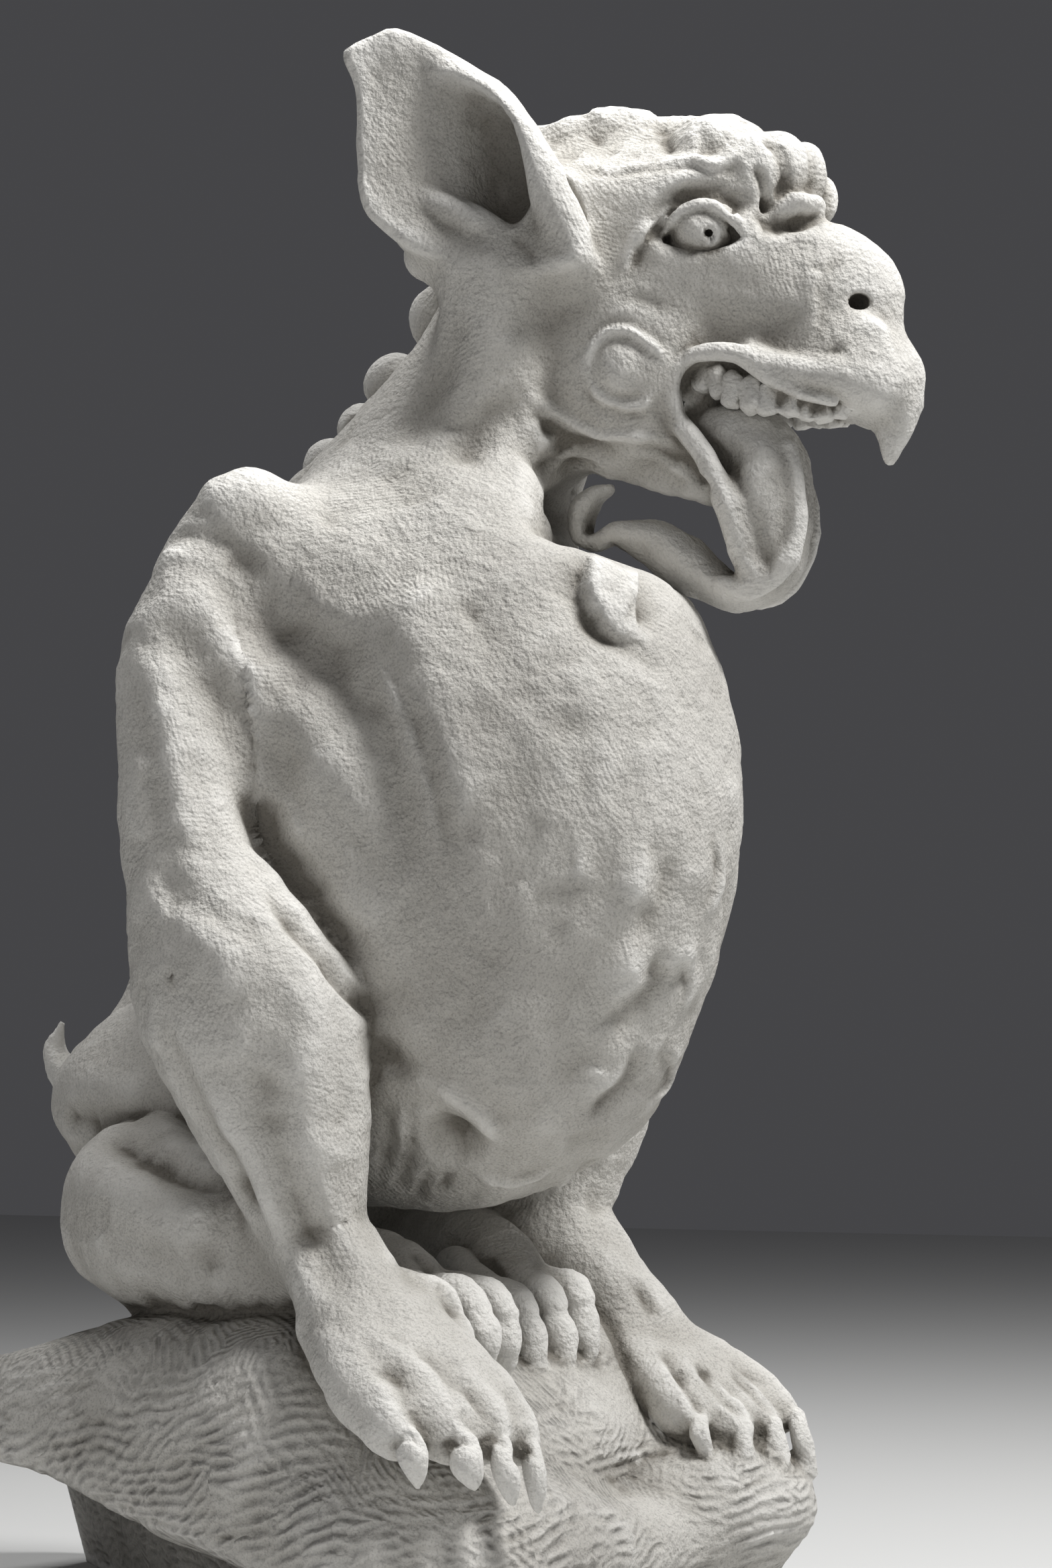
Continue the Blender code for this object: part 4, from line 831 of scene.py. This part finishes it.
# ---------------------------------------------------------------- limestone
mat = bpy.data.materials.new("limestone_tooled")
mat.use_nodes = True
nt = mat.node_tree
bsdf = nt.nodes["Principled BSDF"]
bsdf.inputs["Roughness"].default_value = 0.9
bsdf.inputs["Specular IOR Level"].default_value = 0.22
coord = nt.nodes.new("ShaderNodeTexCoord").outputs["Object"]


def link(a, b):
    nt.links.new(a, b)


def tex(scale, detail=4.0, where=None):
    n = nt.nodes.new("ShaderNodeTexNoise")
    n.inputs["Scale"].default_value = scale
    n.inputs["Detail"].default_value = detail
    link(where or coord, n.inputs["Vector"])
    return n


def calc(op, a, b=None, c=None):
    n = nt.nodes.new("ShaderNodeMath")
    n.operation = op
    for i, v in enumerate((a, b, c)):
        if v is None:
            continue
        if isinstance(v, (int, float)):
            n.inputs[i].default_value = v
        else:
            link(v, n.inputs[i])
    return n.outputs[0]


def vec(op, a, b=None, s=None):
    n = nt.nodes.new("ShaderNodeVectorMath")
    n.operation = op
    link(a, n.inputs[0])
    if isinstance(b, tuple):
        n.inputs[1].default_value = b
    elif b is not None:
        link(b, n.inputs[1])
    if s is not None:
        n.inputs["Scale"].default_value = s
    return n.outputs["Value"] if op == "DOT_PRODUCT" else n.outputs["Vector"]


def ramp(fac, stops):
    n = nt.nodes.new("ShaderNodeValToRGB")
    e = n.color_ramp.elements
    while len(e) < len(stops):
        e.new(0.5)
    for el, (p, c) in zip(e, stops):
        el.position = p
        el.color = (*c, 1) if isinstance(c, tuple) else (c, c, c, 1)
    link(fac, n.inputs["Fac"])
    return n.outputs["Color"]


def blend(a, b, f, mode="MULTIPLY"):
    n = nt.nodes.new("ShaderNodeMix")
    n.data_type = "RGBA"
    n.blend_type = mode
    if isinstance(f, (int, float)):
        n.inputs["Factor"].default_value = f
    else:
        link(f, n.inputs["Factor"])
    link(a, n.inputs[6])
    link(b, n.inputs[7])
    return n.outputs[2]


def attr(name):
    n = nt.nodes.new("ShaderNodeAttribute")
    n.attribute_name = name
    return n.outputs["Fac"]


# strokes of the toothed chisel on the beast: parallel lines about 3.6 mm apart, patch by patch, fading in and out
shake = vec("SCALE", vec("SUBTRACT", tex(34.0, 2.0).outputs["Color"], (0.5, 0.5, 0.5)), s=0.03)
patch = nt.nodes.new("ShaderNodeTexVoronoi")
patch.inputs["Scale"].default_value = 21.0
link(vec("ADD", coord, shake), patch.inputs["Vector"])
way = vec("NORMALIZE", vec("SUBTRACT", patch.outputs["Color"], (0.5, 0.5, 0.5)))
along = vec("DOT_PRODUCT", vec("ADD", coord, vec("SCALE", shake, s=0.28)), way)
hatch = calc("MULTIPLY_ADD", calc("SINE", calc("MULTIPLY", along, 2 * math.pi / 0.0036)), 0.5, 0.5)
where = tex(11.0, 4.0).outputs["Fac"]
hatch = calc("MULTIPLY", hatch, ramp(where, ((0.36, 0.12), (0.58, 1.0))))
hatch = calc("MULTIPLY", hatch, ramp(tex(95.0, 3.0).outputs["Fac"], ((0.35, 0.1), (0.6, 1.0))))
pits = tex(330.0, 5.0).outputs["Fac"]
pecks = tex(120.0, 4.0).outputs["Fac"]
skin_height = calc("ADD", calc("MULTIPLY", hatch, 0.26), calc("ADD", calc("MULTIPLY", pits, 1.3), calc("MULTIPLY", pecks, 2.6)))
# furrows of the point chisel on the rock, in step with the modelled ones
rocky, upward = attr("rocky"), attr("upward")


def furrow(turns):
    return calc("MULTIPLY_ADD", calc("COSINE", calc("MULTIPLY", turns, 2 * math.pi)), 0.5, 0.5)


cut_short = ramp(tex(44.0, 2.0).outputs["Fac"], ((0.40, 0.0), (0.52, 1.0)))
cut_level = ramp(tex(27.0, 3.0).outputs["Fac"], ((0.38, 0.0), (0.56, 1.0)))


def broken_up(f, mask):
    return calc("MULTIPLY_ADD", calc("SUBTRACT", f, 0.62), mask, 0.62)


level = calc("MULTIPLY", broken_up(furrow(attr("side_turns")), cut_level), calc("SUBTRACT", 1.0, upward))
fanned = calc("MULTIPLY", broken_up(furrow(attr("top_turns")), cut_short), upward)
# short parallel strokes, each patch with its own lean
bed = nt.nodes.new("ShaderNodeTexVoronoi")
bed.inputs["Scale"].default_value = 17.0
link(vec("ADD", coord, vec("SCALE", shake, s=1.6)), bed.inputs["Vector"])
lean = vec("SUBTRACT", bed.outputs["Color"], (0.5, 0.5, 0.5))
side_way = vec("NORMALIZE", vec("ADD", vec("MULTIPLY", lean, (1.1, 1.1, 0.2)), (0.0, 0.0, 0.5)))
top_way = vec("NORMALIZE", vec("ADD", vec("MULTIPLY", lean, (1.5, 1.5, 0.0)), (0.25, -0.15, 0.0)))
bent = vec("ADD", coord, vec("SCALE", shake, s=0.35))
side_cut = furrow(calc("DIVIDE", vec("DOT_PRODUCT", bent, side_way), 0.0076))
top_cut = furrow(calc("DIVIDE", vec("DOT_PRODUCT", bent, top_way), 0.0054))
short = calc("ADD", calc("MULTIPLY", side_cut, calc("SUBTRACT", 1.0, upward)), calc("MULTIPLY", top_cut, upward))
short = calc("MULTIPLY_ADD", calc("SUBTRACT", short, 0.6), ramp(tex(38.0, 3.0).outputs["Fac"], ((0.36, 0.1), (0.55, 1.0))), 0.6)
tooled = calc("ADD", calc("MULTIPLY", calc("ADD", level, fanned), 0.5), calc("MULTIPLY", short, 0.5))
rock_height = calc("ADD", calc("MULTIPLY", tooled, 2.8), calc("ADD", calc("MULTIPLY", pecks, 2.0), calc("MULTIPLY", pits, 0.8)))
height = calc("ADD", calc("MULTIPLY", skin_height, calc("SUBTRACT", 1.0, rocky)), calc("MULTIPLY", rock_height, rocky))
bump = nt.nodes.new("ShaderNodeBump")
bump.inputs["Strength"].default_value = 0.9
bump.inputs["Distance"].default_value = 0.0013
link(height, bump.inputs["Height"])
link(bump.outputs["Normal"], bsdf.inputs["Normal"])
# colour: warm grey stone with paler beds and dark specks; painted shade darkening the hollows, the chisel grooves and
# the rock's furrows; paler wear on proud edges
base = ramp(tex(7.0, 6.0).outputs["Fac"], ((0.30, (0.49, 0.47, 0.435)), (0.5, (0.59, 0.57, 0.53)), (0.72, (0.67, 0.65, 0.61))))
speck = ramp(tex(620.0, 3.0).outputs["Fac"], ((0.34, 0.58), (0.50, 1.0)))
# painted shade: the troughs of the chisel hatch are darkened slightly
groove = ramp(hatch, ((0.0, 0.93), (0.6, 1.0)))
col = blend(base, speck, 0.6)
col = blend(col, groove, 0.8)
# painted shade: the troughs of the rock's furrows are darkened
col = blend(col, ramp(tooled, ((0.15, 0.6), (0.6, 1.0))), calc("MULTIPLY", rocky, 0.65))
hollow_shade_and_edge_wear_fac = attr("hollow_shade_and_edge_wear")
# painted shade: the hollows darken to about 0.36 of the stone colour; proud edges go paler as wear
col = blend(col, ramp(hollow_shade_and_edge_wear_fac, ((0.12, (0.36, 0.345, 0.32)), (0.42, (0.86, 0.855, 0.845)), (0.55, 1.0))), 1.0)
pale = nt.nodes.new("ShaderNodeRGB")
pale.outputs[0].default_value = (0.82, 0.805, 0.77, 1)
col = blend(col, pale.outputs[0], calc("MULTIPLY", ramp(hollow_shade_and_edge_wear_fac, ((0.58, 0.0), (0.9, 1.0))), 0.65), "MIX")
link(col, bsdf.inputs["Base Color"])
final.materials.clear()
final.materials.append(mat)

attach(stone, "root")
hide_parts("gargoyle")

# ---------------------------------------------------------------- floor, light, camera
floor_mesh = bpy.data.meshes.new("floor")
floor_mesh.from_pydata([(-8, -8, 0), (8, -8, 0), (8, 8, 0), (-8, 8, 0)], [], [(0, 1, 2, 3)])
floor = bpy.data.objects.new("floor", floor_mesh)
bpy.context.scene.collection.objects.link(floor)
fm = bpy.data.materials.new("floor_plain")
fm.use_nodes = True
fm.node_tree.nodes["Principled BSDF"].inputs["Base Color"].default_value = (0.62, 0.62, 0.61, 1)
fm.node_tree.nodes["Principled BSDF"].inputs["Roughness"].default_value = 0.9
floor_mesh.materials.append(fm)

world = bpy.data.worlds.new("studio")
bpy.context.scene.world = world
world.use_nodes = True
world.node_tree.nodes["Background"].inputs["Color"].default_value = (0.06, 0.06, 0.064, 1)
world.node_tree.nodes["Background"].inputs["Strength"].default_value = 1.0


def area(name, loc, target, size, energy):
    L = bpy.data.lights.new(name, "AREA")
    L.shape = "DISK"
    L.size = size
    L.energy = energy
    o = bpy.data.objects.new(name, L)
    bpy.context.scene.collection.objects.link(o)
    o.location = loc
    o.rotation_euler = (Vector(target) - Vector(loc)).to_track_quat("-Z", "Y").to_euler()


area("key", (0.35, -1.85, 3.05), (0, -0.1, 0.6), 0.8, 114)
area("fill", (-2.8, -0.6, 1.1), (0, 0, 0.5), 2.2, 9)
area("top", (0.1, 0.3, 3.1), (0, 0, 0.7), 1.0, 40)

cam_data = bpy.data.cameras.new("photo_view")
cam_data.sensor_width = 36
cam_data.lens = 80
cam = bpy.data.objects.new("photo_view", cam_data)
bpy.context.scene.collection.objects.link(cam)
place = EYEP * 0.001 - ORIGIN_SHIFT * 0.001
M = Matrix.Identity(4)
for i in range(3):
    M[i][0], M[i][1], M[i][2], M[i][3] = CR[i], CU[i], -CF[i], place[i]
cam.matrix_world = M
bpy.context.scene.camera = cam
bpy.context.scene.view_settings.view_transform = "Standard"
